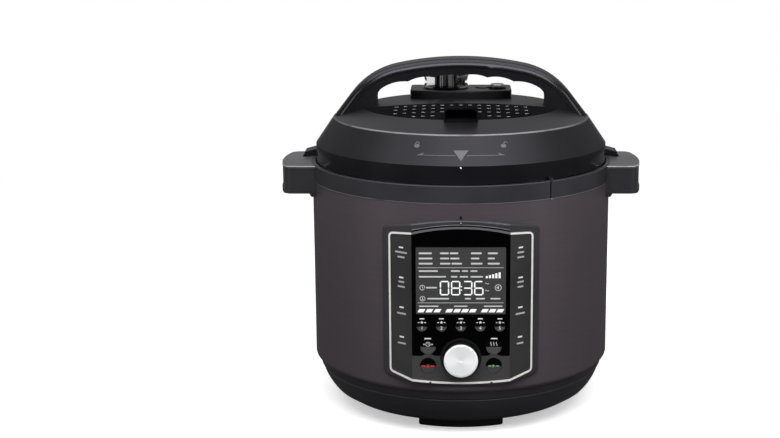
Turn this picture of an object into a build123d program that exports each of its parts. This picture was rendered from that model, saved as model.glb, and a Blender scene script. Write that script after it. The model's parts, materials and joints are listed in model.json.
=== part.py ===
from build123d import *
import math
import os

# Electric pressure cooker, 6-quart class, as an assembly of separate sub-parts.
# Millimetres, +Z up, the control panel faces -Y, origin on the body axis at the
# plane that the feet stand on.

# ---------------------------------------------------------------- driving sizes
# pot, liner and housing, from the inside out
POT_R = 109.0
POT_WALL = 1.0
POT_BASE_T = 3.0
POT_CORNER_R = 11.0
POT_RIM_W = 7.0
POT_RIM_T = 1.2
LINER_GAP = 4.5
LINER_WALL = 0.8
LINER_LIFT = 4.0
LINER_BRIM_INSET = 6.0
LINER_HOLE_GAP = 4.0
HOUSING_W = 28.0
SHELL_WALL = 1.0
SHELL_FOLD_R = 4.0
SHELL_FLANGE_W = 1.8
FOOT_H = 12.0
FOOT_INSET = 40.0
FOOT_DEPTH = 19.0
FOOT_HALF_ANGLE = 23.0
FOOT_FILLET = 2.5
SKIRT_H = 34.0
SKIRT_WALL = 3.0
SKIRT_EDGE_INSET = 17.2
SKIRT_EDGE_H = 5.6
SKIRT_FLAT_INSET = 26.0
SKIRT_BULGE = 1.4
SKIRT_NECK_H = 12.0
GROOVE_DEPTH = 1.0
GROOVE_DROP = 8.0
VENT_COUNT = 10
VENT_R = 62.0
VENT_LENGTH = 24.0
VENT_WIDTH = 4.0

# collar and bayonet
COLLAR_H = 15.8
COLLAR_PROUD = 0.7
COLLAR_EDGE = 0.6
COLLAR_WALL = 3.3
COLLAR_SHELF_DROP = 11.0
COLLAR_SHELF_T = 4.0
COLLAR_SKIRT_H = 8.4
PANEL_TO_COLLAR = 13.2
FLANGE_GAP = 6.5
FLANGE_WALL = 1.5
FLANGE_RECESS = 0.8
FLANGE_LUG_W = 4.5
LUG_COUNT = 6
LUG_HALF_ANGLE = 12.0
LUG_T = 2.0
OPEN_MARK_ANGLE = 34.4
OPEN_MARK_W = 1.4
OPEN_MARK_RISE = 2.6

# side handles
HANDLE_PROUD = 27.5
HANDLE_HALF_L = 39.0
HANDLE_BOW = 6.0
HANDLE_H = 23.1
HANDLE_DROP = 2.9
HANDLE_WALL = 3.2
HANDLE_CORNER_R = 8.0
HANDLE_LIP = 0.8
HANDLE_LIP_H = 3.0
HANDLE_ROOT_H = 3.2
CAP_T = 2.4
CAP_PROUD = 0.4
CAP_FILLET = 0.9
FIN_SLOT_GAP = 0.3
FIN_SLOT_L = 26.0
FIN_SLOT_W = 6.6

# heater, sensor and power electronics
HEATER_INSET = 21.0
HEATER_T = 14.0
HEATER_LEDGE_T = 9.2
HEATER_CORE_R = 14.0
TAB_INSET = 5.0
TAB_HALF_ANGLE = 14.0
TERMINAL_CIRCLE_R = 60.0
TERMINAL_R = 5.0
TERMINAL_PIN_R = 2.0
TERMINAL_COLLAR_H = 4.0
TERMINAL_L = 12.0
POST_INSET = 9.5
POST_R = 4.5
SCREW_R = 1.6
SCREW_BITE = 8.0
SCREW_HEAD_R = 3.6
SCREW_HEAD_T = 2.4
SENSOR_R = 11.5
SENSOR_T = 3.0
SENSOR_STEM_R = 3.0
SENSOR_STEM_L = 10.0
SENSOR_GUIDE_L = 6.0
SENSOR_TRAVEL = 2.0
SPRING_R = 5.0
SPRING_WIRE_R = 0.6
SPRING_TURNS = 4
BOARD_T = 1.6
POWER_BOARD_L = 92.0
POWER_BOARD_W = 56.0
POWER_BOARD_Y = 20.0
POWER_BOARD_LIFT = 7.0
RELAY_L = 18.0
RELAY_W = 16.0
RELAY_H = 15.0
TRANSFORMER_L = 22.0
TRANSFORMER_W = 24.0
TRANSFORMER_H = 17.0
CAPACITOR_R = 5.0
CAPACITOR_H = 14.0
FUSE_R = 3.0
FUSE_L = 20.0
INLET_HALF_W = 15.0
INLET_LIFT = 9.5
INLET_H = 23.0
INLET_WALL = 3.2
INLET_DEPTH = 22.0
PIN_LENGTH = 12.0
PIN_PITCH = 7.0
PIN_STEP = 5.0

# control panel: a flat centre and two wings that turn back to the shell,
# in layers measured outwards from the printed face
FACE_PROUD = 2.6
KNEE_X = 42.0
WING_END_PROUD = 2.5
BEZEL_PROUD = 0.3
FACE_T = 1.2
PANEL_T = 5.0
BEZEL_HALF_W = 67.4
BEZEL_LIFT = 7.5
BEZEL_H = 146.7
BEZEL_TOP_BOW = 8.2
BEZEL_LOW_BOW = 6.5
BEZEL_CORNER_R = 6.0
BEZEL_FILLET = 1.6
BEZEL_BACK_GAP = 0.1
TRIM_HALF_W = 62.0
TRIM_LIFT = 2.3
TRIM_H = 138.8
TRIM_SIDE_DROP = 6.9
TRIM_KNEE_DROP = 4.8
TRIM_SIDE_RISE = 7.8
TRIM_KNEE_RISE = 2.6
TRIM_CORNER_R = 4.2
TRIM_W = 1.6
TRIM_PROUD = 0.9
TRIM_NOTCH_X = 26.3
TRIM_NOTCH_W = 2.4
TRIM_NOTCH_DEPTH = 1.2
WINDOW_LIFT = 25.5
WINDOW_PROUD = 0.4
KEY_SCOOP_R = 10.8
LCD_HALF_W = 38.4
LCD_H = 59.0
LCD_DROP = 17.4
LENS_RECESS = 0.3
WELL_HALF_W = 55.0
WELL_LIFT = 6.2
WELL_DROP = 6.6
BOARD_SETBACK = 15.6
BOARD_HALF_W = 47.0
FAV_COUNT = 5
FAV_PITCH = 16.7
FAV_DROP = 10.8
FAV_R = 4.5
MODE_X = 28.3
MODE_DROP = 28.9
RUN_DROP = 46.0
MODE_R = 6.8
KEY_GAP = 0.3
KEY_TRAVEL = 0.6
KEY_T = 4.2
CREASE_ANGLE = 10.0
CREASE_DROP = 0.6
SWITCH_W = 6.0
SWITCH_H = 3.4
SWITCH_STEM_R = 1.6
SWITCH_STEM_L = 1.0
DIAL_DROP = 39.0
DIAL_R = 14.8
DIAL_DEPTH = 11.5
DIAL_FACE_T = 2.5
DIAL_WALL = 1.6
DIAL_DISH = 0.3
DIAL_PROUD = 10.6
DIAL_RING_R = 17.6
RING_PROUD = 0.5
DIAL_TRAVEL = 1.2
DIAL_SHAFT_R = 3.0
DIAL_BOSS_WALL = 2.4
DIAL_WELL_R = 15.6
ENCODER_W = 13.0
ENCODER_H = 6.5
ENCODER_WALL = 1.2
ROTOR_R = 5.0
ROTOR_T = 1.6
SHAFT_FIT = 0.05

# condensation collector at the back
CUP_HALF_W = 34.0
CUP_DROP = 35.4
CUP_H = 50.0
CUP_DEPTH = 20.0
CUP_WALL = 2.0
CUP_CORNER_R = 4.5
BRACKET_T = 3.0
BRACKET_HALF_W = 28.0
BRACKET_HALF_H = 9.0
PEG_R = 3.0
PEG_L = 8.0
PEG_X = 20.0
PEG_DROP = 12.0
SOCKET_WALL = 1.6

# lid
LID_INSET = 3.7
LID_WALL = 3.0
LID_BAND_H = 15.8
LID_SLOPE_W = 16.2
LID_SLOPE_H = 23.7
LID_SHOULDER_W = 27.1
LID_SHOULDER_H = 9.1
LID_CROWN_H = 4.6
LID_TURN_GAP = 0.4
FIN_Y = 22.0
FIN_HALF_W = 11.0
FIN_PROUD = 12.7
FIN_GAP = 0.6
FIN_ROOT_T = 6.0
FIN_TIP_T = 2.6
PAN_GAP = 0.8
PAN_WALL = 1.2
PAN_H = 25.7
PAN_CORNER_R = 4.0
PAN_LUG_W = 4.8
SEAL_W = 12.3
SEAL_H = 11.2
SEAL_LIP = 3.0
RACK_WIRE_R = 1.3
LID_POST_INSET = 24.8
LID_POST_R = 5.0
LID_SCREW_R = 2.0
LID_SCREW_BITE = 14.0
LID_SCREW_HEAD_R = 4.5
LID_SCREW_HEAD_T = 2.5
COVER_EDGE_GAP = 2.8
COVER_T = 2.0
COVER_RIM_W = 4.0
COVER_SKIRT_H = 6.0
COVER_SKIRT_T = 1.5
POCKET_DEPTH = 9.7
POCKET_WALL = 2.5
VENT_COLUMNS = 15
VENT_ROWS = 5
VENT_FIRST_Y = 7.0
VENT_PITCH_X = 8.3
VENT_PITCH_Y = 15.4
VENT_HOLE_W = 3.2
VENT_HOLE_L = 6.4
VENT_MARGIN = 3.0
TAB_HALF_W = 14.8
TAB_H = 10.8
TAB_L = 34.5
TAB_OVERHANG = 6.5
TAB_WALL = 1.2
TAB_CORNER_R = 5.0
TAB_CREST_L = 14.0

# arch handle
ARCH_RISE = 40.2
ARCH_HALF_D = 15.0
ARCH_CROWN_R = 280.0
ARCH_CROWN_TURN = 12.0
ARCH_SHOULDER_R = 72.0
ARCH_SHOULDER_TURN = 40.5
ARCH_LEG_L = 24.0
ARCH_EDGE_FILLET = 8.0
ARCH_SHELL_T = 8.0
GRIP_INSET = 0.7
GRIP_DEPTH = 16.2
GRIP_CROWN_R = 240.0
GRIP_END_X = 77.0
GROOVE_PITCH = 24.0
GROOVES_PER_SIDE = 3
FINGER_DEPTH = 1.9

# valve group on the lid
BLOCK_HALF_W = 47.5
BLOCK_FRONT_Y = 14.0
BLOCK_CORNER_Y = 26.0
BLOCK_BACK_Y = 64.0
BLOCK_H = 6.5
BLOCK_CORNER_R = 4.0
BLOCK_FILLET = 1.5
VALVE_X = -14.0
VALVE_Y = 40.0
VALVE_R = 21.4
VALVE_H = 12.8
VALVE_LIFT = 1.1
VALVE_WAIST = 1.2
VALVE_RING_T = 1.8
VALVE_GRIP_HALF_W = 9.5
CORE_R = 14.2
CORE_RISE = 2.6
PIPE_R = 5.0
PIPE_BORE_R = 1.75
PIPE_DROP = 5.2
PIPE_NUT_R = 9.0
PIPE_NUT_T = 4.0
NEEDLE_L = 3.3
WEIGHT_R = 9.0
BUTTON_X = 20.0
BUTTON_Y = 42.0
BUTTON_RX = 6.4
BUTTON_RY = 7.4
BUTTON_H = 5.2
BUTTON_PROUD = 1.1
BUTTON_FILLET = 0.8
FLOAT_X = 34.3
FLOAT_Y = 36.5
FLOAT_R = 6.7
FLOAT_STEM_R = 3.0
FLOAT_H = 4.3
FLOAT_TRAVEL = 4.5
FLOAT_SEAL_R = 5.4
FLOAT_SEAL_T = 3.2
FLOAT_RIM_T = 1.3
FLOAT_RIM_W = 1.4
FLOAT_RIM_H = 1.8
FLOAT_GAP = 0.4
SHIELD_R = 13.5
SHIELD_DROP = 15.0
SHIELD_WALL = 1.0
SHIELD_CORNER = 3.0
SHIELD_SLOTS = 12
SHIELD_SLOT_W = 2.0
SEAT_GAP = 0.3

SLOT_REACH = 400.0

# ---------------------------------------------------------------- derived sizes
# radii
POT_OUT_R = POT_R + POT_WALL
POT_RIM_R = POT_R + POT_RIM_W
LINER_R = POT_R + LINER_GAP
LINER_OUT_R = LINER_R + LINER_WALL
BODY_R = POT_R + HOUSING_W
SHELL_IN_R = BODY_R - SHELL_WALL
COLLAR_R = BODY_R + COLLAR_PROUD
LINER_BRIM_R = BODY_R - LINER_BRIM_INSET
SKIRT_EDGE_R = BODY_R - SKIRT_EDGE_INSET
SKIRT_FLAT_R = BODY_R - SKIRT_FLAT_INSET
FOOT_R = BODY_R - FOOT_INSET
HEATER_R = POT_R - HEATER_INSET
LINER_HOLE_R = HEATER_R + LINER_HOLE_GAP
TAB_REACH_R = HEATER_R - TAB_INSET
POST_CIRCLE_R = LINER_R - POST_INSET
FLANGE_R = POT_RIM_R + FLANGE_GAP
FLANGE_LUG_R = FLANGE_R - FLANGE_LUG_W
PAN_R = POT_RIM_R + PAN_GAP
PAN_LUG_R = PAN_R + PAN_LUG_W
SEAL_INNER_R = PAN_R - PAN_WALL - SEAL_W
LID_R = BODY_R - LID_INSET
LID_RIDGE_R = LID_R - LID_SLOPE_W
LID_RIM_R = LID_RIDGE_R - LID_SHOULDER_W
LID_POST_CIRCLE_R = PAN_R - LID_POST_INSET
FIN_REACH = LID_R + FIN_PROUD
HANDLE_REACH = BODY_R + HANDLE_PROUD
FIN_SLOT_LOW_X = COLLAR_R + HANDLE_WALL + FIN_SLOT_GAP

# heights, from the feet up
SKIRT_BOTTOM_Z = FOOT_H
SKIRT_FLOOR_Z = SKIRT_BOTTOM_Z + SKIRT_WALL
SKIRT_EDGE_Z = SKIRT_BOTTOM_Z + SKIRT_EDGE_H
SHELL_BOTTOM_Z = SKIRT_BOTTOM_Z + SKIRT_H
GROOVE_Z = SHELL_BOTTOM_Z - GROOVE_DROP
LINER_BOTTOM_Z = SHELL_BOTTOM_Z + LINER_LIFT
POWER_BOARD_Z = SKIRT_FLOOR_Z + POWER_BOARD_LIFT
INLET_LOW_Z = SKIRT_BOTTOM_Z + INLET_LIFT
INLET_HIGH_Z = INLET_LOW_Z + INLET_H
BEZEL_LOW_Z = SHELL_BOTTOM_Z + BEZEL_LIFT
BEZEL_TOP_Z = BEZEL_LOW_Z + BEZEL_H
COLLAR_BOTTOM_Z = BEZEL_TOP_Z + PANEL_TO_COLLAR
COLLAR_TOP_Z = COLLAR_BOTTOM_Z + COLLAR_H
COLLAR_SHELF_Z = COLLAR_TOP_Z - COLLAR_SHELF_DROP
LINER_BRIM_Z = COLLAR_SHELF_Z + LINER_WALL
FLANGE_TOP_Z = COLLAR_TOP_Z - FLANGE_RECESS
HANDLE_TOP_Z = COLLAR_TOP_Z - HANDLE_DROP
HANDLE_BOTTOM_Z = HANDLE_TOP_Z - HANDLE_H
CAP_TOP_Z = HANDLE_TOP_Z + CAP_T
HEATER_LEDGE_Z = LINER_BOTTOM_Z + LINER_WALL
POT_BOTTOM_Z = HEATER_LEDGE_Z + HEATER_LEDGE_T
POT_RIM_Z = LINER_BRIM_Z + SEAT_GAP + POT_RIM_T
SEAL_BOTTOM_Z = POT_RIM_Z + SEAT_GAP
SEAL_TOP_Z = SEAL_BOTTOM_Z + SEAL_H
PAN_BOTTOM_Z = POT_RIM_Z + 1.0
PAN_TOP_Z = PAN_BOTTOM_Z + PAN_H
PAN_UNDER_Z = PAN_TOP_Z - PAN_WALL
PAN_LUG_TOP_Z = PAN_BOTTOM_Z + LUG_T
FLANGE_LUG_Z = PAN_LUG_TOP_Z + SEAT_GAP
LID_BOTTOM_Z = COLLAR_TOP_Z + LID_TURN_GAP
LID_BAND_TOP_Z = LID_BOTTOM_Z + LID_BAND_H
LID_RIDGE_Z = LID_BAND_TOP_Z + LID_SLOPE_H
LID_RIM_Z = LID_RIDGE_Z + LID_SHOULDER_H
LID_APEX_Z = LID_RIM_Z + LID_CROWN_H
FIN_LOW_Z = LID_BOTTOM_Z + FIN_GAP
POCKET_FLOOR_Z = LID_RIM_Z - POCKET_DEPTH
TAB_TOP_Z = LID_RIM_Z + TAB_H
ARCH_TOP_Z = LID_APEX_Z + ARCH_RISE
GRIP_TOP_Z = ARCH_TOP_Z - GRIP_DEPTH
BLOCK_TOP_Z = LID_APEX_Z + BLOCK_H
VALVE_LOW_Z = BLOCK_TOP_Z + VALVE_LIFT
VALVE_TOP_Z = VALVE_LOW_Z + VALVE_H
PIPE_TOP_Z = VALVE_TOP_Z - PIPE_DROP
FLOAT_TOP_Z = BLOCK_TOP_Z + FLOAT_H

# control panel
FACE_Y = -BODY_R - FACE_PROUD
WING_END_Y = -math.sqrt(BODY_R ** 2 - BEZEL_HALF_W ** 2) - WING_END_PROUD
WING_ANGLE = math.degrees(math.atan((WING_END_Y - FACE_Y) / (BEZEL_HALF_W - KNEE_X)))
BOARD_FRONT_Y = FACE_Y + BOARD_SETBACK
DIAL_FACE_Y = FACE_Y - DIAL_PROUD
TRIM_LOW_Z = BEZEL_LOW_Z + TRIM_LIFT
TRIM_ARCH_Z = TRIM_LOW_Z + TRIM_H
TRIM_SIDE_TOP_Z = TRIM_ARCH_Z - TRIM_SIDE_DROP
TRIM_KNEE_TOP_Z = TRIM_ARCH_Z - TRIM_KNEE_DROP
TRIM_SIDE_LOW_Z = TRIM_LOW_Z + TRIM_SIDE_RISE
TRIM_KNEE_LOW_Z = TRIM_LOW_Z + TRIM_KNEE_RISE
WINDOW_LOW_Z = TRIM_LOW_Z + WINDOW_LIFT
LCD_HIGH_Z = TRIM_ARCH_Z - LCD_DROP
LCD_LOW_Z = LCD_HIGH_Z - LCD_H
WELL_LOW_Z = TRIM_LOW_Z + WELL_LIFT
WELL_HIGH_Z = TRIM_ARCH_Z - WELL_DROP
FAV_Z = LCD_LOW_Z - FAV_DROP
MODE_Z = LCD_LOW_Z - MODE_DROP
RUN_Z = LCD_LOW_Z - RUN_DROP
DIAL_Z = LCD_LOW_Z - DIAL_DROP

# collector and lid plan
CUP_HIGH_Z = COLLAR_BOTTOM_Z - CUP_DROP
CUP_LOW_Z = CUP_HIGH_Z - CUP_H
PEG_Z = CUP_HIGH_Z - PEG_DROP
COVER_EDGE_Y = -ARCH_HALF_D - COVER_EDGE_GAP
TAB_FRONT_Y = -LID_RIM_R - TAB_OVERHANG
TAB_BACK_Y = TAB_FRONT_Y + TAB_L


# ---------------------------------------------------------------- shared shapes
def box(x0, x1, y0, y1, z0, z1):
    """Box between two corners."""
    centre = Pos((x0 + x1) / 2, (y0 + y1) / 2, (z0 + z1) / 2)
    return centre * Box(x1 - x0, y1 - y0, z1 - z0)


def disc(radius, z_low, z_high, x=0.0, y=0.0):
    """Upright cylinder between two heights."""
    return Pos(x, y, (z_low + z_high) / 2) * Cylinder(radius, z_high - z_low)


def tube(r_out, r_in, z_low, z_high, x=0.0, y=0.0):
    """Upright tube between two heights."""
    return disc(r_out, z_low, z_high, x, y) - disc(r_in, z_low, z_high, x, y)


def rod_y(radius, x, z, y_front, y_back):
    """Cylinder along Y between two depths."""
    length = y_back - y_front
    return Pos(x, (y_front + y_back) / 2, z) * Rot(90, 0, 0) * Cylinder(radius, length)


def revolved(edges):
    """Solid of revolution about Z from (radius, height) edges."""
    return revolve(Plane.XZ * make_face(Curve() + edges), Axis.Z)


def lathe(points):
    """Solid of revolution about Z from a closed run of (radius, height) points."""
    return revolve(Plane.XZ * make_face(Polyline(*points, close=True)), Axis.Z)


def bulged(start, end, bulge):
    """Arc down a half section from one point to another that stands out by its bulge."""
    run, fall = start[0] - end[0], start[1] - end[1]
    chord = math.hypot(run, fall)
    middle = ((start[0] + end[0]) / 2 + bulge * fall / chord, (start[1] + end[1]) / 2 - bulge * run / chord)
    return ThreePointArc(start, middle, end)


def sector(half_angle, heading, z_low, z_high):
    """Upright wedge from the axis outwards, centred on a heading in degrees."""
    side = math.tan(math.radians(half_angle)) * SLOT_REACH
    outline = make_face(Polyline((0, 0), (SLOT_REACH, -side), (SLOT_REACH, side), close=True))
    return Pos(0, 0, z_low) * Rot(0, 0, heading) * extrude(outline, amount=z_high - z_low)


def ring_lugs(r_out, r_in, z_low, z_high):
    """The bayonet lugs of one ring."""
    ring = tube(r_out, r_in, z_low, z_high)
    step = 360 / LUG_COUNT
    lugs = [ring & sector(LUG_HALF_ANGLE, i * step, z_low, z_high) for i in range(LUG_COUNT)]
    return Part() + lugs


def prism_y(outline, y_front, y_back):
    """Solid along Y from an outline drawn in X and Z."""
    return Pos(0, y_back, 0) * extrude(Plane.XZ * outline, amount=y_back - y_front)


def polar(radius, degrees):
    """Point at a radius and heading in the ground plane."""
    angle = math.radians(degrees)
    return radius * math.cos(angle), radius * math.sin(angle)


def mirrored(shape):
    """The same shape on the other side of the YZ plane."""
    return mirror(shape, about=Plane.YZ)


# ---------------------------------------------------------------- base housing
def skirt_outer_edges():
    """Outside of the base skirt, from its neck down to the centre of the floor."""
    neck_r = BODY_R - SHELL_FOLD_R - SHELL_FLANGE_W - SEAT_GAP
    ledge_r = BODY_R - SHELL_FOLD_R
    lip_r = ledge_r - GROOVE_DEPTH
    belly_r = lip_r - GROOVE_DEPTH
    return [
        Line((0, SHELL_BOTTOM_Z + SKIRT_NECK_H), (neck_r, SHELL_BOTTOM_Z + SKIRT_NECK_H)),
        Line((neck_r, SHELL_BOTTOM_Z + SKIRT_NECK_H), (neck_r, SHELL_BOTTOM_Z)),
        Line((neck_r, SHELL_BOTTOM_Z), (ledge_r, SHELL_BOTTOM_Z)),
        Line((ledge_r, SHELL_BOTTOM_Z), (lip_r, GROOVE_Z + GROOVE_DEPTH)),
        Line((lip_r, GROOVE_Z + GROOVE_DEPTH), (belly_r, GROOVE_Z)),
        bulged((belly_r, GROOVE_Z), (SKIRT_EDGE_R, SKIRT_EDGE_Z), SKIRT_BULGE),
        Line((SKIRT_EDGE_R, SKIRT_EDGE_Z), (SKIRT_FLAT_R, SKIRT_BOTTOM_Z)),
        Line((SKIRT_FLAT_R, SKIRT_BOTTOM_Z), (0, SKIRT_BOTTOM_Z)),
        Line((0, SKIRT_BOTTOM_Z), (0, SHELL_BOTTOM_Z + SKIRT_NECK_H)),
    ]


def skirt_cavity():
    """Room inside the skirt, one wall in from its outside."""
    neck_r = BODY_R - SHELL_FOLD_R - SHELL_FLANGE_W - SEAT_GAP - SKIRT_WALL
    top = SHELL_BOTTOM_Z + SKIRT_NECK_H
    edge_r = SKIRT_EDGE_R - SKIRT_WALL
    edges = [
        Line((0, top), (neck_r, top)),
        Line((neck_r, top), (neck_r, GROOVE_Z)),
        bulged((neck_r, GROOVE_Z), (edge_r, SKIRT_EDGE_Z + SKIRT_WALL), SKIRT_BULGE),
        Line((edge_r, SKIRT_EDGE_Z + SKIRT_WALL), (SKIRT_FLAT_R - SKIRT_WALL, SKIRT_FLOOR_Z)),
        Line((SKIRT_FLAT_R - SKIRT_WALL, SKIRT_FLOOR_Z), (0, SKIRT_FLOOR_Z)),
        Line((0, SKIRT_FLOOR_Z), (0, top)),
    ]
    return revolved(edges)


def post_places():
    """Where the three posts stand that carry the liner."""
    return [polar(POST_CIRCLE_R, 30 + i * 120) for i in range(3)]


def inlet_block(depth_from, depth_to):
    """The space of the power inlet between two depths."""
    return box(-INLET_HALF_W, INLET_HALF_W, depth_from, depth_to, INLET_LOW_Z, INLET_HIGH_Z)


def inlet_back_y():
    """Depth of the inlet's inner end."""
    return SKIRT_EDGE_R - INLET_DEPTH


def board_post_places():
    """Feet of the power board."""
    half_l = POWER_BOARD_L / 2 - 5
    half_w = POWER_BOARD_W / 2 - 5
    return [(sx * half_l, POWER_BOARD_Y + sy * half_w) for sx in (-1, 1) for sy in (-1, 1)]


def base_skirt():
    body = revolved(skirt_outer_edges()) - skirt_cavity()
    for x, y in post_places():
        body += disc(POST_R, SKIRT_BOTTOM_Z + 1, LINER_BOTTOM_Z, x, y)
        body -= disc(SCREW_R, SKIRT_BOTTOM_Z, LINER_BOTTOM_Z - SCREW_BITE, x, y)
    for x, y in board_post_places():
        body += disc(POST_R, SKIRT_BOTTOM_Z + 1, POWER_BOARD_Z, x, y)
    slot = box(VENT_R, VENT_R + VENT_LENGTH, -VENT_WIDTH / 2, VENT_WIDTH / 2, 0, SKIRT_FLOOR_Z + 1)
    step = 360 / VENT_COUNT
    for i in range(VENT_COUNT):
        body -= Rot(0, 0, (i + 0.5) * step) * slot
    body += sensor_stand()
    return body - inlet_block(inlet_back_y(), BODY_R)


def feet():
    block = tube(FOOT_R, FOOT_R - FOOT_DEPTH, 0, SKIRT_BOTTOM_Z)
    block = block & sector(FOOT_HALF_ANGLE, 0, 0, SKIRT_BOTTOM_Z)
    low = block.edges().group_by(Axis.Z)[0]
    block = fillet(low, FOOT_FILLET)
    return Compound([Rot(0, 0, i * 90) * block.solid() for i in range(4)])


def outer_shell():
    fold_c = BODY_R - SHELL_FOLD_R
    lip_r = fold_c - SHELL_FLANGE_W
    fold_top = SHELL_BOTTOM_Z + SHELL_FOLD_R
    turn = math.sqrt(0.5)
    in_r = SHELL_FOLD_R - SHELL_WALL
    edges = [
        Line((BODY_R, COLLAR_BOTTOM_Z), (BODY_R, fold_top)),
        ThreePointArc(
            (BODY_R, fold_top),
            (fold_c + SHELL_FOLD_R * turn, fold_top - SHELL_FOLD_R * turn),
            (fold_c, SHELL_BOTTOM_Z),
        ),
        Line((fold_c, SHELL_BOTTOM_Z), (lip_r, SHELL_BOTTOM_Z)),
        Line((lip_r, SHELL_BOTTOM_Z), (lip_r, SHELL_BOTTOM_Z + SHELL_WALL)),
        Line((lip_r, SHELL_BOTTOM_Z + SHELL_WALL), (fold_c, SHELL_BOTTOM_Z + SHELL_WALL)),
        ThreePointArc(
            (fold_c, SHELL_BOTTOM_Z + SHELL_WALL),
            (fold_c + in_r * turn, fold_top - in_r * turn),
            (SHELL_IN_R, fold_top),
        ),
        Line((SHELL_IN_R, fold_top), (SHELL_IN_R, COLLAR_BOTTOM_Z)),
        Line((SHELL_IN_R, COLLAR_BOTTOM_Z), (BODY_R, COLLAR_BOTTOM_Z)),
    ]
    return revolved(edges) - prism_y(well_outline(), -BODY_R - 5, 0)


def collar_ring():
    wall_in = COLLAR_R - COLLAR_WALL
    shelf_in = LINER_OUT_R + 1.5
    neck_r = SHELL_IN_R - 0.2
    neck_in = neck_r - 2
    under_z = COLLAR_SHELF_Z - COLLAR_SHELF_T
    ring = lathe([
        (COLLAR_R - COLLAR_EDGE, COLLAR_BOTTOM_Z),
        (COLLAR_R, COLLAR_BOTTOM_Z + COLLAR_EDGE),
        (COLLAR_R, COLLAR_TOP_Z - COLLAR_EDGE),
        (COLLAR_R - COLLAR_EDGE, COLLAR_TOP_Z),
        (wall_in, COLLAR_TOP_Z),
        (wall_in, COLLAR_SHELF_Z),
        (shelf_in, COLLAR_SHELF_Z),
        (shelf_in, under_z),
        (neck_in, under_z),
        (neck_in, COLLAR_BOTTOM_Z - COLLAR_SKIRT_H),
        (neck_r, COLLAR_BOTTOM_Z - COLLAR_SKIRT_H),
        (neck_r, COLLAR_BOTTOM_Z),
    ])
    half = OPEN_MARK_W / 2
    mark = box(wall_in, COLLAR_R + half, -half, half, COLLAR_BOTTOM_Z, COLLAR_TOP_Z + OPEN_MARK_RISE)
    return ring + Rot(0, 0, OPEN_MARK_ANGLE - 90) * mark


def handle_outline(grow=0.0):
    """Plan of the right side handle, with its outer edge slightly bowed."""
    reach = HANDLE_REACH + grow
    half = HANDLE_HALF_L + grow
    root = BODY_R - 12
    outline = make_face(Curve() + [
        Line((root, -half), (reach - HANDLE_BOW, -half)),
        ThreePointArc((reach - HANDLE_BOW, -half), (reach, 0), (reach - HANDLE_BOW, half)),
        Line((reach - HANDLE_BOW, half), (root, half)),
        Line((root, half), (root, -half)),
    ])
    corners = outline.vertices().sort_by(Axis.X)[-2:]
    return fillet(corners, HANDLE_CORNER_R + grow)


def fin_slot(z_low, z_high):
    """Slot that holds a fin of the lid when the lid is parked on the handle."""
    half_l = FIN_SLOT_L / 2
    return box(FIN_SLOT_LOW_X, FIN_SLOT_LOW_X + FIN_SLOT_W, FIN_Y - half_l, FIN_Y + half_l, z_low, z_high)


def side_handle():
    outer = Pos(0, 0, HANDLE_BOTTOM_Z) * extrude(handle_outline(), HANDLE_TOP_Z - HANDLE_BOTTOM_Z)
    pocket_h = HANDLE_TOP_Z - HANDLE_BOTTOM_Z - HANDLE_WALL
    pocket = Pos(0, 0, HANDLE_BOTTOM_Z) * extrude(handle_outline(-HANDLE_WALL), pocket_h)
    root_z = HANDLE_BOTTOM_Z - HANDLE_ROOT_H
    core = disc(BODY_R, root_z, HANDLE_TOP_Z) + disc(COLLAR_R, COLLAR_BOTTOM_Z, HANDLE_TOP_Z)
    inner_wall = disc(COLLAR_R + HANDLE_WALL, HANDLE_BOTTOM_Z, HANDLE_TOP_Z)
    lip = Pos(0, 0, HANDLE_BOTTOM_Z) * extrude(handle_outline(HANDLE_LIP), HANDLE_LIP_H)
    root = Pos(0, 0, root_z) * extrude(handle_outline(), HANDLE_ROOT_H)
    root = root & disc(COLLAR_R + HANDLE_WALL, root_z, HANDLE_BOTTOM_Z)
    handle = outer + lip - (pocket - inner_wall) + root - core
    return handle - fin_slot(HANDLE_BOTTOM_Z, HANDLE_TOP_Z)


def handle_cap():
    plate = Pos(0, 0, HANDLE_TOP_Z) * extrude(handle_outline(CAP_PROUD), CAP_T)
    top = plate.edges().group_by(Axis.Z)[-1]
    plate = fillet(top, CAP_FILLET)
    core = disc(COLLAR_R, HANDLE_TOP_Z, CAP_TOP_Z)
    return plate - core - fin_slot(HANDLE_TOP_Z, CAP_TOP_Z)


# ---------------------------------------------------------------- liner, pot and heater
def inner_housing():
    bottom = LINER_BOTTOM_Z
    in_bottom = bottom + LINER_WALL
    cup = lathe([
        (LINER_HOLE_R, bottom),
        (LINER_OUT_R, bottom),
        (LINER_OUT_R, COLLAR_SHELF_Z),
        (LINER_BRIM_R, COLLAR_SHELF_Z),
        (LINER_BRIM_R, LINER_BRIM_Z),
        (LINER_R, LINER_BRIM_Z),
        (LINER_R, in_bottom),
        (LINER_HOLE_R, in_bottom),
    ])
    tab_ring = tube(LINER_HOLE_R + 1, TAB_REACH_R, bottom, in_bottom)
    for i in range(3):
        cup += tab_ring & sector(TAB_HALF_ANGLE, i * 120, bottom, in_bottom)
    return cup


def locking_flange():
    out_r = FLANGE_R + FLANGE_WALL
    roll_r = out_r + 3
    ring = lathe([
        (FLANGE_R, LINER_BRIM_Z),
        (LINER_BRIM_R, LINER_BRIM_Z),
        (LINER_BRIM_R, LINER_BRIM_Z + FLANGE_WALL),
        (out_r, LINER_BRIM_Z + FLANGE_WALL),
        (out_r, FLANGE_TOP_Z - FLANGE_WALL),
        (roll_r, FLANGE_TOP_Z - FLANGE_WALL),
        (roll_r, FLANGE_TOP_Z),
        (FLANGE_R, FLANGE_TOP_Z),
    ])
    return ring + ring_lugs(FLANGE_R + 0.5, FLANGE_LUG_R, FLANGE_LUG_Z, FLANGE_LUG_Z + LUG_T)


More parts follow.
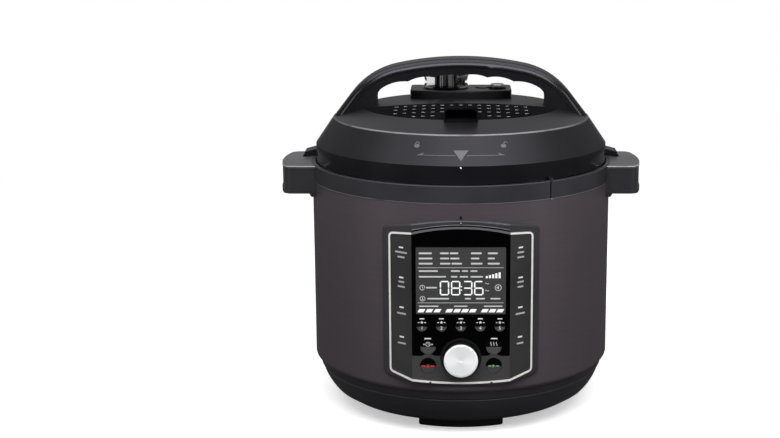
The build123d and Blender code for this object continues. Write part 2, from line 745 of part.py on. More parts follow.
def inner_pot():
    bottom = POT_BOTTOM_Z
    floor = bottom + POT_BASE_T
    lip_z = POT_RIM_Z - POT_RIM_T
    turn = math.sqrt(0.5)
    corner_c = POT_OUT_R - POT_CORNER_R
    inner_corner = POT_CORNER_R - POT_WALL
    edges = [
        Line((0, bottom), (corner_c, bottom)),
        ThreePointArc(
            (corner_c, bottom),
            (corner_c + POT_CORNER_R * turn, bottom + POT_CORNER_R * (1 - turn)),
            (POT_OUT_R, bottom + POT_CORNER_R),
        ),
        Line((POT_OUT_R, bottom + POT_CORNER_R), (POT_OUT_R, lip_z)),
        Line((POT_OUT_R, lip_z), (POT_RIM_R, lip_z)),
        Line((POT_RIM_R, lip_z), (POT_RIM_R, POT_RIM_Z)),
        Line((POT_RIM_R, POT_RIM_Z), (POT_R + 1, POT_RIM_Z)),
        ThreePointArc(
            (POT_R + 1, POT_RIM_Z),
            (POT_R + 1 - turn, POT_RIM_Z - 1 + turn),
            (POT_R, POT_RIM_Z - 1),
        ),
        Line((POT_R, POT_RIM_Z - 1), (POT_R, floor + inner_corner)),
        ThreePointArc(
            (POT_R, floor + inner_corner),
            (POT_R - inner_corner * (1 - turn), floor + inner_corner * (1 - turn)),
            (POT_R - inner_corner, floor),
        ),
        Line((POT_R - inner_corner, floor), (0, floor)),
        Line((0, floor), (0, bottom)),
    ]
    return revolved(edges)


def heating_plate():
    bottom = POT_BOTTOM_Z - HEATER_T
    body_r = TAB_REACH_R - 1
    return lathe([
        (HEATER_CORE_R, bottom),
        (body_r, bottom),
        (body_r, HEATER_LEDGE_Z),
        (HEATER_R, HEATER_LEDGE_Z),
        (HEATER_R, POT_BOTTOM_Z - 2),
        (HEATER_R - 2, POT_BOTTOM_Z),
        (HEATER_CORE_R, POT_BOTTOM_Z),
    ])


def heater_terminals():
    bottom = POT_BOTTOM_Z - HEATER_T
    pins = []
    for heading in (250, 290):
        x, y = polar(TERMINAL_CIRCLE_R, heading)
        low = bottom - TERMINAL_COLLAR_H
        pin = disc(TERMINAL_R, low, bottom, x, y)
        pins.append(pin + disc(TERMINAL_PIN_R, bottom - TERMINAL_L, low, x, y))
    return Compound([pin.solid() for pin in pins])


def sensor_stem_low_z():
    """Lower end of the sensor's stem."""
    return POT_BOTTOM_Z - HEATER_T - SENSOR_STEM_L


def sensor_stand():
    """Boss on the skirt's floor that guides the sensor's stem."""
    top = sensor_stem_low_z() + SENSOR_GUIDE_L
    bore = SENSOR_STEM_R + SEAT_GAP
    floor = sensor_stem_low_z() - SENSOR_TRAVEL - 1
    post = disc(SPRING_R + 3, SKIRT_BOTTOM_Z + 1, top)
    return post - disc(bore, floor, top)


def sensor_plunger():
    top = POT_BOTTOM_Z
    cap = disc(SENSOR_R, top - SENSOR_T, top)
    return cap + disc(SENSOR_STEM_R, sensor_stem_low_z(), top - SENSOR_T)


def sensor_spring():
    low = sensor_stem_low_z() + SENSOR_GUIDE_L + SPRING_WIRE_R
    high = POT_BOTTOM_Z - SENSOR_T - SPRING_WIRE_R
    pitch = (high - low) / SPRING_TURNS
    path = Helix(pitch=pitch, height=high - low, radius=SPRING_R)
    start = path @ 0
    section = Plane(origin=start, z_dir=path % 0) * Circle(SPRING_WIRE_R)
    return Pos(0, 0, low) * sweep(section, path=path, is_frenet=True)


def base_screws():
    screws = []
    for x, y in post_places():
        shaft = disc(SCREW_R, SKIRT_BOTTOM_Z - SCREW_HEAD_T, LINER_BOTTOM_Z - SCREW_BITE, x, y)
        head = disc(SCREW_HEAD_R, SKIRT_BOTTOM_Z - SCREW_HEAD_T, SKIRT_BOTTOM_Z, x, y)
        screws.append((shaft + head).solid())
    return Compound(screws)


def power_board():
    half_l = POWER_BOARD_L / 2
    half_w = POWER_BOARD_W / 2
    y = POWER_BOARD_Y
    board = box(-half_l, half_l, y - half_w, y + half_w, POWER_BOARD_Z, POWER_BOARD_Z + BOARD_T)
    return board - sensor_clearance()


def sensor_clearance():
    """Hole that lets the sensor's guide pass through the power board."""
    return disc(SPRING_R + 5, SKIRT_BOTTOM_Z, LINER_BOTTOM_Z)


def power_board_parts():
    z = POWER_BOARD_Z + BOARD_T
    left = -POWER_BOARD_L / 2 + 6
    right = POWER_BOARD_L / 2 - 8
    back = POWER_BOARD_Y + POWER_BOARD_W / 2 - 8
    front = POWER_BOARD_Y - POWER_BOARD_W / 2 + 12
    relay = box(left, left + RELAY_L, back - RELAY_W, back, z, z + RELAY_H)
    transformer = box(right - TRANSFORMER_L, right, back - TRANSFORMER_W, back, z, z + TRANSFORMER_H)
    capacitor = disc(CAPACITOR_R, z, z + CAPACITOR_H, left + 2 * CAPACITOR_R, front + CAPACITOR_R)
    fuse = Pos(right - FUSE_L / 2, front, z + FUSE_R) * Rot(0, 90, 0) * Cylinder(FUSE_R, FUSE_L)
    return Compound([s.solid() for s in (relay, transformer, capacitor, fuse)])


def inlet_socket():
    envelope = revolved(skirt_outer_edges())
    block = inlet_block(inlet_back_y(), BODY_R) & envelope
    low = INLET_LOW_Z + INLET_WALL
    high = INLET_HIGH_Z - INLET_WALL
    half = INLET_HALF_W - INLET_WALL
    cavity = box(-half, half, inlet_back_y() + INLET_WALL, BODY_R, low, high)
    return block - cavity


def inlet_pins():
    start = inlet_back_y()
    tip = start + INLET_WALL + PIN_LENGTH
    mid = (INLET_LOW_Z + INLET_HIGH_Z) / 2
    pins = []
    for x, z in ((-PIN_PITCH, mid - 2), (0, mid - 2 + PIN_STEP), (PIN_PITCH, mid - 2)):
        pins.append(box(x - 1, x + 1, start + INLET_WALL, tip, z - 2, z + 2))
    return Compound([pin.solid() for pin in pins])


# ---------------------------------------------------------------- control panel
def bezel_outline():
    """Panel frame: upright sides, bowed top and bottom, rounded corners."""
    half = BEZEL_HALF_W
    side_top = BEZEL_TOP_Z - BEZEL_TOP_BOW
    side_low = BEZEL_LOW_Z + BEZEL_LOW_BOW
    outline = make_face(Curve() + [
        Line((-half, side_low), (-half, side_top)),
        ThreePointArc((-half, side_top), (0, BEZEL_TOP_Z), (half, side_top)),
        Line((half, side_top), (half, side_low)),
        ThreePointArc((half, side_low), (0, BEZEL_LOW_Z), (-half, side_low)),
    ])
    return fillet(outline.vertices(), BEZEL_CORNER_R)


def trim_outline(inset=0.0):
    """Bright line of the panel: it arches over the centre strip at its top."""
    half = TRIM_HALF_W
    knee = KNEE_X
    outline = make_face(Curve() + [
        Line((-half, TRIM_SIDE_LOW_Z), (-half, TRIM_SIDE_TOP_Z)),
        Line((-half, TRIM_SIDE_TOP_Z), (-knee, TRIM_KNEE_TOP_Z)),
        ThreePointArc((-knee, TRIM_KNEE_TOP_Z), (0, TRIM_ARCH_Z), (knee, TRIM_KNEE_TOP_Z)),
        Line((knee, TRIM_KNEE_TOP_Z), (half, TRIM_SIDE_TOP_Z)),
        Line((half, TRIM_SIDE_TOP_Z), (half, TRIM_SIDE_LOW_Z)),
        Line((half, TRIM_SIDE_LOW_Z), (knee, TRIM_KNEE_LOW_Z)),
        ThreePointArc((knee, TRIM_KNEE_LOW_Z), (0, TRIM_LOW_Z), (-knee, TRIM_KNEE_LOW_Z)),
        Line((-knee, TRIM_KNEE_LOW_Z), (-half, TRIM_SIDE_LOW_Z)),
    ])
    corners = [v for v in outline.vertices() if abs(v.X) > half - 0.1]
    outline = fillet(corners, TRIM_CORNER_R)
    return offset(outline, -inset) if inset else outline


def panel_plan(proud, back_y):
    """Plan of all that lies behind the panel's face: flat centre, wings turned back."""
    lean = math.radians(WING_ANGLE)
    front = FACE_Y - proud
    knee = KNEE_X + proud * math.tan(lean / 2)
    reach = BODY_R
    far_y = front + (reach - knee) * math.tan(lean)
    return make_face(Polyline(
        (-reach, far_y), (-knee, front), (knee, front), (reach, far_y),
        (reach, back_y), (-reach, back_y), close=True))


def layer(outline, low, high):
    """Layer of the panel behind an outline, between two heights over its printed face."""
    bottom = BEZEL_LOW_Z - 5
    height = BEZEL_TOP_Z + 5 - bottom
    slab = extrude(panel_plan(high, 0), height) - extrude(panel_plan(low, 0), height)
    return Pos(0, 0, bottom) * slab & prism_y(outline, FACE_Y - 10, 0)


def key_places():
    """Name, x, z and radius of each key."""
    middle = (FAV_COUNT - 1) / 2
    keys = [(f"favourite_key_{i + 1}", (i - middle) * FAV_PITCH, FAV_Z, FAV_R) for i in range(FAV_COUNT)]
    keys.append(("delay_key", -MODE_X, MODE_Z, MODE_R))
    keys.append(("keep_warm_key", MODE_X, MODE_Z, MODE_R))
    keys.append(("cancel_key", -MODE_X, RUN_Z, MODE_R))
    keys.append(("start_key", MODE_X, RUN_Z, MODE_R))
    return keys


def key_bores():
    """Holes that the keys and the dial come through."""
    front = FACE_Y - 5
    bores = [rod_y(r + KEY_GAP, x, z, front, BOARD_FRONT_Y) for _, x, z, r in key_places()]
    bores.append(rod_y(DIAL_WELL_R, 0, DIAL_Z, front, BOARD_FRONT_Y))
    return Part() + bores


def rectangle_xz(half_w, z_low, z_high, corner):
    """Rounded upright rectangle, centred on the panel."""
    return Pos(0, (z_low + z_high) / 2) * RectangleRounded(2 * half_w, z_high - z_low, corner)


def window_outline():
    """Glossy centre strip: from the arched top down to the dial, scooped over two keys."""
    strip = rectangle_xz(KNEE_X, WINDOW_LOW_Z, BEZEL_TOP_Z + 20, 1.0)
    strip -= [Pos(sx * MODE_X, RUN_Z) * Circle(KEY_SCOOP_R) for sx in (-1, 1)]
    return strip & trim_outline(TRIM_W)


def well_outline(inset=0.0):
    """Opening in the shell that the panel's box passes through."""
    half = WELL_HALF_W - inset
    return rectangle_xz(half, WELL_LOW_Z + inset, WELL_HIGH_Z - inset, BEZEL_CORNER_R - inset)


def panel_bezel():
    deep = layer(bezel_outline(), -PANEL_T - 20, BEZEL_PROUD)
    frame = deep - disc(BODY_R + BEZEL_BACK_GAP, BEZEL_LOW_Z - 5, BEZEL_TOP_Z + 5)
    frame = fillet(bezel_rim(frame), BEZEL_FILLET)
    frame += layer(well_outline(SEAT_GAP), -PANEL_T, -FACE_T)
    frame -= layer(trim_outline(), -FACE_T, BEZEL_PROUD + 1)
    lcd_hole = rectangle_xz(LCD_HALF_W, LCD_LOW_Z, LCD_HIGH_Z, 1.0)
    frame -= prism_y(lcd_hole, FACE_Y - 5, BOARD_FRONT_Y)
    frame -= key_bores()
    for sx in (-1, 1):
        for z in (WELL_LOW_Z + 9, WELL_HIGH_Z - 7):
            frame += bezel_post(sx * (BOARD_HALF_W - 3), z)
    return frame


def bezel_rim(frame):
    """Front edges round the outside of the panel's frame."""
    lean = math.tan(math.radians(WING_ANGLE))

    def on_front(edge):
        for t in (0.0, 0.5, 1.0):
            p = edge @ t
            face_y = FACE_Y - BEZEL_PROUD + max(0.0, abs(p.X) - KNEE_X) * lean
            if abs(p.Y - face_y) > 0.2:
                return False
        return True

    along = [e for e in frame.edges() if on_front(e) and (e @ 0.5).Z > BEZEL_LOW_Z - 1]
    return [e for e in along if abs((e @ 0).Z - (e @ 1).Z) < 100 or abs((e @ 0).X) > KNEE_X + 5]


def bezel_post(x, z):
    """Post behind the bezel that the control board is screwed to."""
    return rod_y(2.5, x, z, FACE_Y + PANEL_T - 0.5, BOARD_FRONT_Y)


def panel_trim():
    ring = trim_outline() - trim_outline(TRIM_W)
    edge = TRIM_LOW_Z + TRIM_KNEE_RISE * (TRIM_NOTCH_X / KNEE_X) ** 2
    half = TRIM_NOTCH_W / 2
    notch = make_face(Polyline((-half, edge - 1), (half, edge - 1), (0, edge + TRIM_NOTCH_DEPTH), close=True))
    for sx in (-1, 1):
        ring -= Pos(sx * TRIM_NOTCH_X, 0) * notch
    return layer(ring, -FACE_T, TRIM_PROUD)


def panel_overlay():
    face = layer(trim_outline(TRIM_W), -FACE_T, 0)
    face -= layer(window_outline(), -FACE_T - 1, 1)
    return face - key_bores()


def panel_window():
    pane = layer(window_outline(), -FACE_T, WINDOW_PROUD)
    lcd_hole = rectangle_xz(LCD_HALF_W, LCD_LOW_Z, LCD_HIGH_Z, 1.0)
    pane -= prism_y(lcd_hole, FACE_Y - 5, BOARD_FRONT_Y)
    return pane - key_bores()


def display_lens():
    outline = rectangle_xz(LCD_HALF_W, LCD_LOW_Z, LCD_HIGH_Z, 1.0)
    return layer(outline, -FACE_T, WINDOW_PROUD - LENS_RECESS)


def display_module():
    back = BOARD_FRONT_Y
    front = back - 5.5
    half = LCD_HALF_W - 1.5
    return box(-half, half, front, back, LCD_LOW_Z + 1.5, LCD_HIGH_Z - 1.5)


def control_board():
    low = WELL_LOW_Z - 2
    high = WELL_HIGH_Z - 2
    return box(-BOARD_HALF_W, BOARD_HALF_W, BOARD_FRONT_Y, BOARD_FRONT_Y + BOARD_T, low, high)


def key_back_y():
    """Depth of the back of every key's stem at rest."""
    return BOARD_FRONT_Y - SWITCH_H - KEY_TRAVEL - SEAT_GAP


def key_cap(x, z, radius):
    """Round key with a creased face and a stem that reaches its switch."""
    head = rod_y(radius, x, z, FACE_Y, FACE_Y + KEY_T)
    depth = radius * math.tan(math.radians(CREASE_ANGLE))
    crease = make_face(Polyline(
        (FACE_Y - 1, z - radius - 1), (FACE_Y, z - radius), (FACE_Y + depth, z - CREASE_DROP),
        (FACE_Y, z + radius), (FACE_Y - 1, z + radius + 1), close=True))
    head -= Pos(x, 0, 0) * extrude(Plane.YZ * crease, radius + 1, both=True)
    return head + rod_y(SWITCH_STEM_R, x, z, FACE_Y + KEY_T - 0.5, key_back_y())


def key_switches():
    half = SWITCH_W / 2
    body_h = SWITCH_H - SWITCH_STEM_L
    switches = []
    for _, x, z, _ in key_places():
        body = box(x - half, x + half, BOARD_FRONT_Y - body_h, BOARD_FRONT_Y, z - half, z + half)
        stem = rod_y(SWITCH_STEM_R, x, z, BOARD_FRONT_Y - SWITCH_H, BOARD_FRONT_Y - body_h)
        switches.append((body + stem).solid())
    return Compound(switches)


def dial_ring():
    """Thin raised ring around the dial's well."""
    front = FACE_Y - WINDOW_PROUD - RING_PROUD
    ring = rod_y(DIAL_RING_R, 0, DIAL_Z, front, FACE_Y)
    ring -= rod_y(DIAL_WELL_R, 0, DIAL_Z, front, FACE_Y)
    return ring - layer(window_outline(), 0, WINDOW_PROUD)


def encoder_body():
    half = ENCODER_W / 2
    front = BOARD_FRONT_Y - ENCODER_H
    body = box(-half, half, front, BOARD_FRONT_Y, DIAL_Z - half, DIAL_Z + half)
    body -= rod_y(ROTOR_R + SEAT_GAP, 0, DIAL_Z, front + ENCODER_WALL, BOARD_FRONT_Y - ENCODER_WALL)
    return body - rod_y(DIAL_SHAFT_R + SHAFT_FIT, 0, DIAL_Z, front, front + ENCODER_WALL)


def encoder_rotor():
    front = BOARD_FRONT_Y - ENCODER_H + ENCODER_WALL + SEAT_GAP
    rotor = rod_y(ROTOR_R, 0, DIAL_Z, front, front + ROTOR_T)
    return rotor - rod_y(DIAL_SHAFT_R + SHAFT_FIT, 0, DIAL_Z, front, front + ROTOR_T)


def dial_shaft():
    back = BOARD_FRONT_Y - ENCODER_WALL - DIAL_TRAVEL - SEAT_GAP
    return rod_y(DIAL_SHAFT_R, 0, DIAL_Z, DIAL_FACE_Y + DIAL_FACE_T, back)


def dial_knob():
    boss_r = DIAL_SHAFT_R + DIAL_BOSS_WALL
    rim_r = DIAL_R - DIAL_WALL
    knob = lathe([
        (DIAL_SHAFT_R, DIAL_FACE_T),
        (0, DIAL_FACE_T),
        (0, DIAL_DISH),
        (rim_r, 0),
        (DIAL_R - 0.5, 0.4),
        (DIAL_R, 1.4),
        (DIAL_R, DIAL_DEPTH),
        (rim_r, DIAL_DEPTH),
        (rim_r, DIAL_FACE_T),
        (boss_r, DIAL_FACE_T),
        (boss_r, DIAL_DEPTH - 1),
        (DIAL_SHAFT_R, DIAL_DEPTH - 1),
    ])
    return Pos(0, DIAL_FACE_Y, DIAL_Z) * Rot(-90, 0, 0) * knob


# ---------------------------------------------------------------- condensation collector
def collector_bracket():
    face_y = BODY_R + BRACKET_T
    half = BRACKET_HALF_W
    plate = box(-half, half, BODY_R - 20, face_y, PEG_Z - BRACKET_HALF_H, PEG_Z + BRACKET_HALF_H)
    plate -= disc(BODY_R, PEG_Z - 2 * BRACKET_HALF_H, PEG_Z + 2 * BRACKET_HALF_H)
    for sx in (-1, 1):
        plate += rod_y(PEG_R, sx * PEG_X, PEG_Z, face_y - 2, face_y + PEG_L)
    return plate


def collector_cup():
    back = BODY_R + BRACKET_T + SEAT_GAP
    front = back + CUP_DEPTH
    outline = Pos(0, (back + front) / 2) * RectangleRounded(2 * CUP_HALF_W, CUP_DEPTH, CUP_CORNER_R)
    hollow = Pos(0, (back + front) / 2)
    hollow *= RectangleRounded(2 * (CUP_HALF_W - CUP_WALL), CUP_DEPTH - 2 * CUP_WALL, CUP_CORNER_R - CUP_WALL)
    cup = Pos(0, 0, CUP_LOW_Z) * extrude(outline, CUP_HIGH_Z - CUP_LOW_Z)
    cup -= Pos(0, 0, CUP_LOW_Z + CUP_WALL) * extrude(hollow, CUP_HIGH_Z - CUP_LOW_Z)
    bore_r = PEG_R + SEAT_GAP
    for sx in (-1, 1):
        socket = rod_y(bore_r + SOCKET_WALL, sx * PEG_X, PEG_Z, back, back + PEG_L + 2)
        cup += socket
        cup -= rod_y(bore_r, sx * PEG_X, PEG_Z, back, back + PEG_L + 0.5)
    return cup


# ---------------------------------------------------------------- lid
def dome_z(radius, drop=0.0):
    """Height of the lid's crown, a shallow arc through its apex and rim."""
    fall = LID_APEX_Z - LID_RIM_Z
    crown_r = (LID_RIM_R ** 2 + fall ** 2) / (2 * fall)
    return LID_APEX_Z - drop - crown_r + math.sqrt(crown_r ** 2 - radius ** 2)


def lid_edges(inset, floor_z):
    """Half section of the lid's outside, moved inwards by a wall."""
    rim_r = LID_RIM_R - inset * 0.2
    ridge_r = LID_RIDGE_R - inset * 0.75
    ridge_z = LID_RIDGE_Z - inset * 0.75
    band_z = LID_BAND_TOP_Z - inset * 0.3
    apex = (0, dome_z(0, inset))
    rim = (rim_r, dome_z(rim_r, inset))
    return [
        Line((0, floor_z), (LID_R - inset, floor_z)),
        Line((LID_R - inset, floor_z), (LID_R - inset, band_z)),
        Line((LID_R - inset, band_z), (ridge_r, ridge_z)),
        Line((ridge_r, ridge_z), rim),
        ThreePointArc(rim, (rim_r / 2, dome_z(rim_r / 2, inset)), apex),
        Line(apex, (0, floor_z)),
    ]


def lid_envelope():
    """The lid's outside as one filled solid."""
    return revolved(lid_edges(0.0, LID_BOTTOM_Z))


def cover_outline(inset=0.0):
    """Plan of the perforated cover: a round front with a straight back edge."""
    reach = LID_RIM_R - inset
    keep = Pos(0, (COVER_EDGE_Y - inset - 2 * reach) / 2)
    keep *= Rectangle(4 * reach, COVER_EDGE_Y - inset + 2 * reach)
    return Circle(reach) & keep


def lid_post_places():
    """Where the lid's posts meet the steel pan."""
    return [polar(LID_POST_CIRCLE_R, heading) for heading in (60, 120, 225, 315)]


def lid_fin():
    """Fin at the lid's side, which stands in a side handle's slot."""
    inner = LID_R - LID_WALL + 1
    root = math.sqrt(inner ** 2 - (abs(FIN_Y) + FIN_HALF_W) ** 2) - 1
    low, high = FIN_LOW_Z, FIN_LOW_Z + FIN_ROOT_T
    outline = make_face(Polyline(
        (root, low), (FIN_REACH, low), (FIN_REACH, low + FIN_TIP_T), (LID_R, high), (root, high), close=True))
    fin = prism_y(outline, FIN_Y - FIN_HALF_W, FIN_Y + FIN_HALF_W)
    return fin - disc(inner, low - 1, high + 1)


def lid_cover():
    envelope = lid_envelope()
    cavity = revolved(lid_edges(LID_WALL, LID_BOTTOM_Z))
    cover = envelope - cavity
    tub = Pos(0, 0, POCKET_FLOOR_Z - POCKET_WALL)
    tub *= extrude(cover_outline(COVER_RIM_W - POCKET_WALL), LID_APEX_Z - POCKET_FLOOR_Z)
    cover += tub & envelope
    for x, y in lid_post_places():
        cover += disc(LID_POST_R, PAN_TOP_Z, LID_APEX_Z, x, y) & envelope
    recess = Pos(0, 0, POCKET_FLOOR_Z) * extrude(cover_outline(COVER_RIM_W), 40)
    cover -= recess
    seat = lid_plate(COVER_T + SEAT_GAP, -10) & cover_prism(-SEAT_GAP)
    cover -= seat
    cover += lid_fin()
    cover += mirrored(lid_fin())
    for x, y in lid_post_places():
        cover -= disc(LID_SCREW_R, PAN_TOP_Z, PAN_TOP_Z + LID_SCREW_BITE, x, y)
    cover -= disc(PIPE_R, LID_BOTTOM_Z, LID_APEX_Z + 5, VALVE_X, VALVE_Y)
    cover -= disc(FLOAT_STEM_R + SEAT_GAP, LID_BOTTOM_Z, LID_APEX_Z + 5, FLOAT_X, FLOAT_Y)
    return cover


def lid_plate(drop_low, drop_high):
    """Shallow dished plate that follows the lid's crown between two depths."""
    reach = LID_RIM_R + 4
    low = (reach, dome_z(reach, drop_low))
    high = (reach, dome_z(reach, drop_high))
    return revolved([
        ThreePointArc((0, dome_z(0, drop_low)), (reach / 2, dome_z(reach / 2, drop_low)), low),
        Line(low, high),
        ThreePointArc(high, (reach / 2, dome_z(reach / 2, drop_high)), (0, dome_z(0, drop_high))),
        Line((0, dome_z(0, drop_high)), (0, dome_z(0, drop_low))),
    ])


def cover_prism(inset):
    """Upright prism on the perforated cover's plan."""
    return Pos(0, 0, LID_BAND_TOP_Z) * extrude(cover_outline(inset), 80)


def vent_places():
    """Grid of the cover's perforations, clear of its rim and of its tab."""
    places = []
    for row in range(VENT_ROWS):
        y = COVER_EDGE_Y - VENT_FIRST_Y - row * VENT_PITCH_Y
        for column in range(VENT_COLUMNS):
            x = (column - (VENT_COLUMNS - 1) / 2) * VENT_PITCH_X
            in_rim = math.hypot(abs(x) + VENT_HOLE_W, abs(y) + VENT_HOLE_L / 2) < LID_RIM_R - VENT_MARGIN
            at_tab = abs(x) < TAB_HALF_W + VENT_HOLE_W and y < TAB_BACK_Y + VENT_HOLE_L
            if in_rim and not at_tab:
                places.append((x, y))
    return places


def tab_outline(inset):
    """Front view of the cover's finger tab: upright sides and rounded top corners."""
    half = TAB_HALF_W - inset
    top = TAB_TOP_Z - inset
    outline = make_face(Polyline(
        (-half, LID_RIDGE_Z), (-half, top), (half, top), (half, LID_RIDGE_Z), close=True))
    return fillet(outline.vertices().sort_by(Axis.Y)[-2:], TAB_CORNER_R - inset)


def tab_side(inset, ahead):
    """The finger tab seen from its side: open at the front, sloping down at the back."""
    front = TAB_FRONT_Y - ahead
    top = TAB_TOP_Z - inset
    crest = TAB_FRONT_Y + TAB_CREST_L - inset * 0.4
    back = TAB_BACK_Y - inset * 2.5
    outline = make_face(Polyline(
        (front, LID_RIDGE_Z), (front, top), (crest, top), (back, LID_RIM_Z), (back, LID_RIDGE_Z), close=True))
    return extrude(Plane.YZ * outline, TAB_HALF_W + 5, both=True)


def steam_cover():
    plate = lid_plate(COVER_T, 0.0) & cover_prism(0.0)
    holes = [
        box(x - VENT_HOLE_W / 2, x + VENT_HOLE_W / 2, y - VENT_HOLE_L / 2, y + VENT_HOLE_L / 2, 260, 300)
        for x, y in vent_places()
    ]
    plate -= holes
    skirt_in = COVER_RIM_W + SEAT_GAP
    skirt = cover_prism(skirt_in) - cover_prism(skirt_in + COVER_SKIRT_T)
    plate += skirt & lid_plate(COVER_SKIRT_H, COVER_T - 0.5)
    hood = prism_y(tab_outline(0), TAB_FRONT_Y, TAB_BACK_Y) & tab_side(0, 0)
    mouth = prism_y(tab_outline(TAB_WALL), TAB_FRONT_Y - 1, TAB_BACK_Y) & tab_side(TAB_WALL, 1)
    hood = (hood & lid_plate(COVER_T / 2, -30)) - (mouth & lid_plate(0.0, -30))
    hood -= Pos(0, 0, SEAT_GAP) * lid_envelope() - cover_prism(0.0)
    return plate + hood


def arch_curve(offset, drop):
    """Right half of the arch's outside, moved inwards, down into the lid."""
    crown_r = ARCH_CROWN_R - offset
    shoulder_r = ARCH_SHOULDER_R - offset
    crown = JernArc((0, ARCH_TOP_Z - offset), (1, 0), crown_r, -ARCH_CROWN_TURN)
    shoulder = JernArc(crown @ 1, crown % 1, shoulder_r, -ARCH_SHOULDER_TURN)
    tip = shoulder @ 1
    along = shoulder % 1
    leg = Line(tip, tip + along * drop)
    return [crown, shoulder, leg]


def arch_region(offset, drop):
    """Filled front view under the arch's outside."""
    right = arch_curve(offset, drop)
    foot = right[2] @ 1
    floor = LID_BOTTOM_Z
    half = make_face(Curve() + right + [
        Line(foot, (foot.X, floor)),
        Line((foot.X, floor), (0, floor)),
        Line((0, floor), (0, ARCH_TOP_Z - offset)),
    ])
    return half + mirror(half, about=Plane.YZ)


def grip_z(x):
    """Height of the crests between the finger grooves."""
    return GRIP_TOP_Z - GRIP_CROWN_R + math.sqrt(GRIP_CROWN_R ** 2 - x ** 2)


def arch_hole():
    """Front view of the opening under the grip, with finger grooves along its top."""
    edges = []
    for i in range(GROOVES_PER_SIDE):
        low, high = i * GROOVE_PITCH, (i + 1) * GROOVE_PITCH
        middle = (low + high) / 2
        edges.append(ThreePointArc((low, grip_z(low)), (middle, grip_z(middle) + FINGER_DEPTH), (high, grip_z(high))))
    tip = (high, grip_z(high))
    end_z = tip[1] - 2 * (GRIP_END_X - high)
    bulge = ((tip[0] + GRIP_END_X) / 2 + 0.9, (tip[1] + end_z) / 2 + 0.9)
    floor = LID_BOTTOM_Z - 5
    half = make_face(Curve() + edges + [
        ThreePointArc(tip, bulge, (GRIP_END_X, end_z)),
        Line((GRIP_END_X, end_z), (GRIP_END_X, floor)),
        Line((GRIP_END_X, floor), (0, floor)),
        Line((0, floor), (0, GRIP_TOP_Z)),
    ])
    return half + mirror(half, about=Plane.YZ)


def lid_handle():
    arch = prism_y(arch_region(0, ARCH_LEG_L), -ARCH_HALF_D, ARCH_HALF_D)
    top_z = LID_RIDGE_Z + 4
    rim = [e for e in arch.edges() if e.center().Z > top_z and abs(abs(e.center().Y) - ARCH_HALF_D) < 0.01]
    arch = fillet(rim, ARCH_EDGE_FILLET)
    arch -= prism_y(arch_region(ARCH_SHELL_T, ARCH_LEG_L), -ARCH_HALF_D - 1, ARCH_HALF_D + 1)
    return arch - lid_envelope()


def handle_grip():
    half_d = ARCH_HALF_D - GRIP_INSET
    grip = prism_y(arch_region(ARCH_SHELL_T, ARCH_LEG_L) - arch_hole(), -half_d, half_d)
    return grip - lid_envelope()


def valve_block():
    plan = make_face(Curve() + [
        ThreePointArc((-BLOCK_HALF_W, BLOCK_CORNER_Y), (0, BLOCK_FRONT_Y), (BLOCK_HALF_W, BLOCK_CORNER_Y)),
        Line((BLOCK_HALF_W, BLOCK_CORNER_Y), (BLOCK_HALF_W, BLOCK_BACK_Y)),
        Line((BLOCK_HALF_W, BLOCK_BACK_Y), (-BLOCK_HALF_W, BLOCK_BACK_Y)),
        Line((-BLOCK_HALF_W, BLOCK_BACK_Y), (-BLOCK_HALF_W, BLOCK_CORNER_Y)),
    ])
    plan = fillet(plan.vertices(), BLOCK_CORNER_R)
    block = Pos(0, 0, LID_RIDGE_Z) * extrude(plan, BLOCK_TOP_Z - LID_RIDGE_Z)
    block = fillet(block.edges().group_by(Axis.Z)[-1], BLOCK_FILLET)
    block -= lid_envelope()
    well_r = FLOAT_R + FLOAT_GAP
    block += tube(well_r + FLOAT_RIM_W, well_r, BLOCK_TOP_Z, BLOCK_TOP_Z + FLOAT_RIM_H, FLOAT_X, FLOAT_Y)
    block -= disc(well_r, BLOCK_TOP_Z - FLOAT_RIM_T, BLOCK_TOP_Z + 5, FLOAT_X, FLOAT_Y)
    block -= disc(FLOAT_STEM_R + SEAT_GAP, LID_RIDGE_Z, BLOCK_TOP_Z, FLOAT_X, FLOAT_Y)
    block -= disc(PIPE_R, LID_RIDGE_Z, BLOCK_TOP_Z + 1, VALVE_X, VALVE_Y)
    return block - button_well()


def button_well():
    """Oval well of the release button, down to the lid's crown."""
    oval = Ellipse(BUTTON_RX + SEAT_GAP, BUTTON_RY + SEAT_GAP)
    return Pos(BUTTON_X, BUTTON_Y, LID_RIDGE_Z) * extrude(oval, 30)


def release_button():
    top = BLOCK_TOP_Z + BUTTON_PROUD
    oval = extrude(Ellipse(BUTTON_RX, BUTTON_RY), BUTTON_H)
    oval = fillet(oval.edges().group_by(Axis.Z)[-1], BUTTON_FILLET)
    return Pos(BUTTON_X, BUTTON_Y, top - BUTTON_H) * oval


def steam_pipe():
    pipe = disc(PIPE_R, PAN_UNDER_Z - 3, PIPE_TOP_Z, VALVE_X, VALVE_Y)
    pipe += disc(PIPE_NUT_R, PAN_UNDER_Z - 2, PAN_UNDER_Z, VALVE_X, VALVE_Y)
    pipe += disc(PIPE_NUT_R, PAN_TOP_Z, PAN_TOP_Z + PIPE_NUT_T, VALVE_X, VALVE_Y)
    return pipe - disc(PIPE_BORE_R, PAN_UNDER_Z - 3, PIPE_TOP_Z, VALVE_X, VALVE_Y)


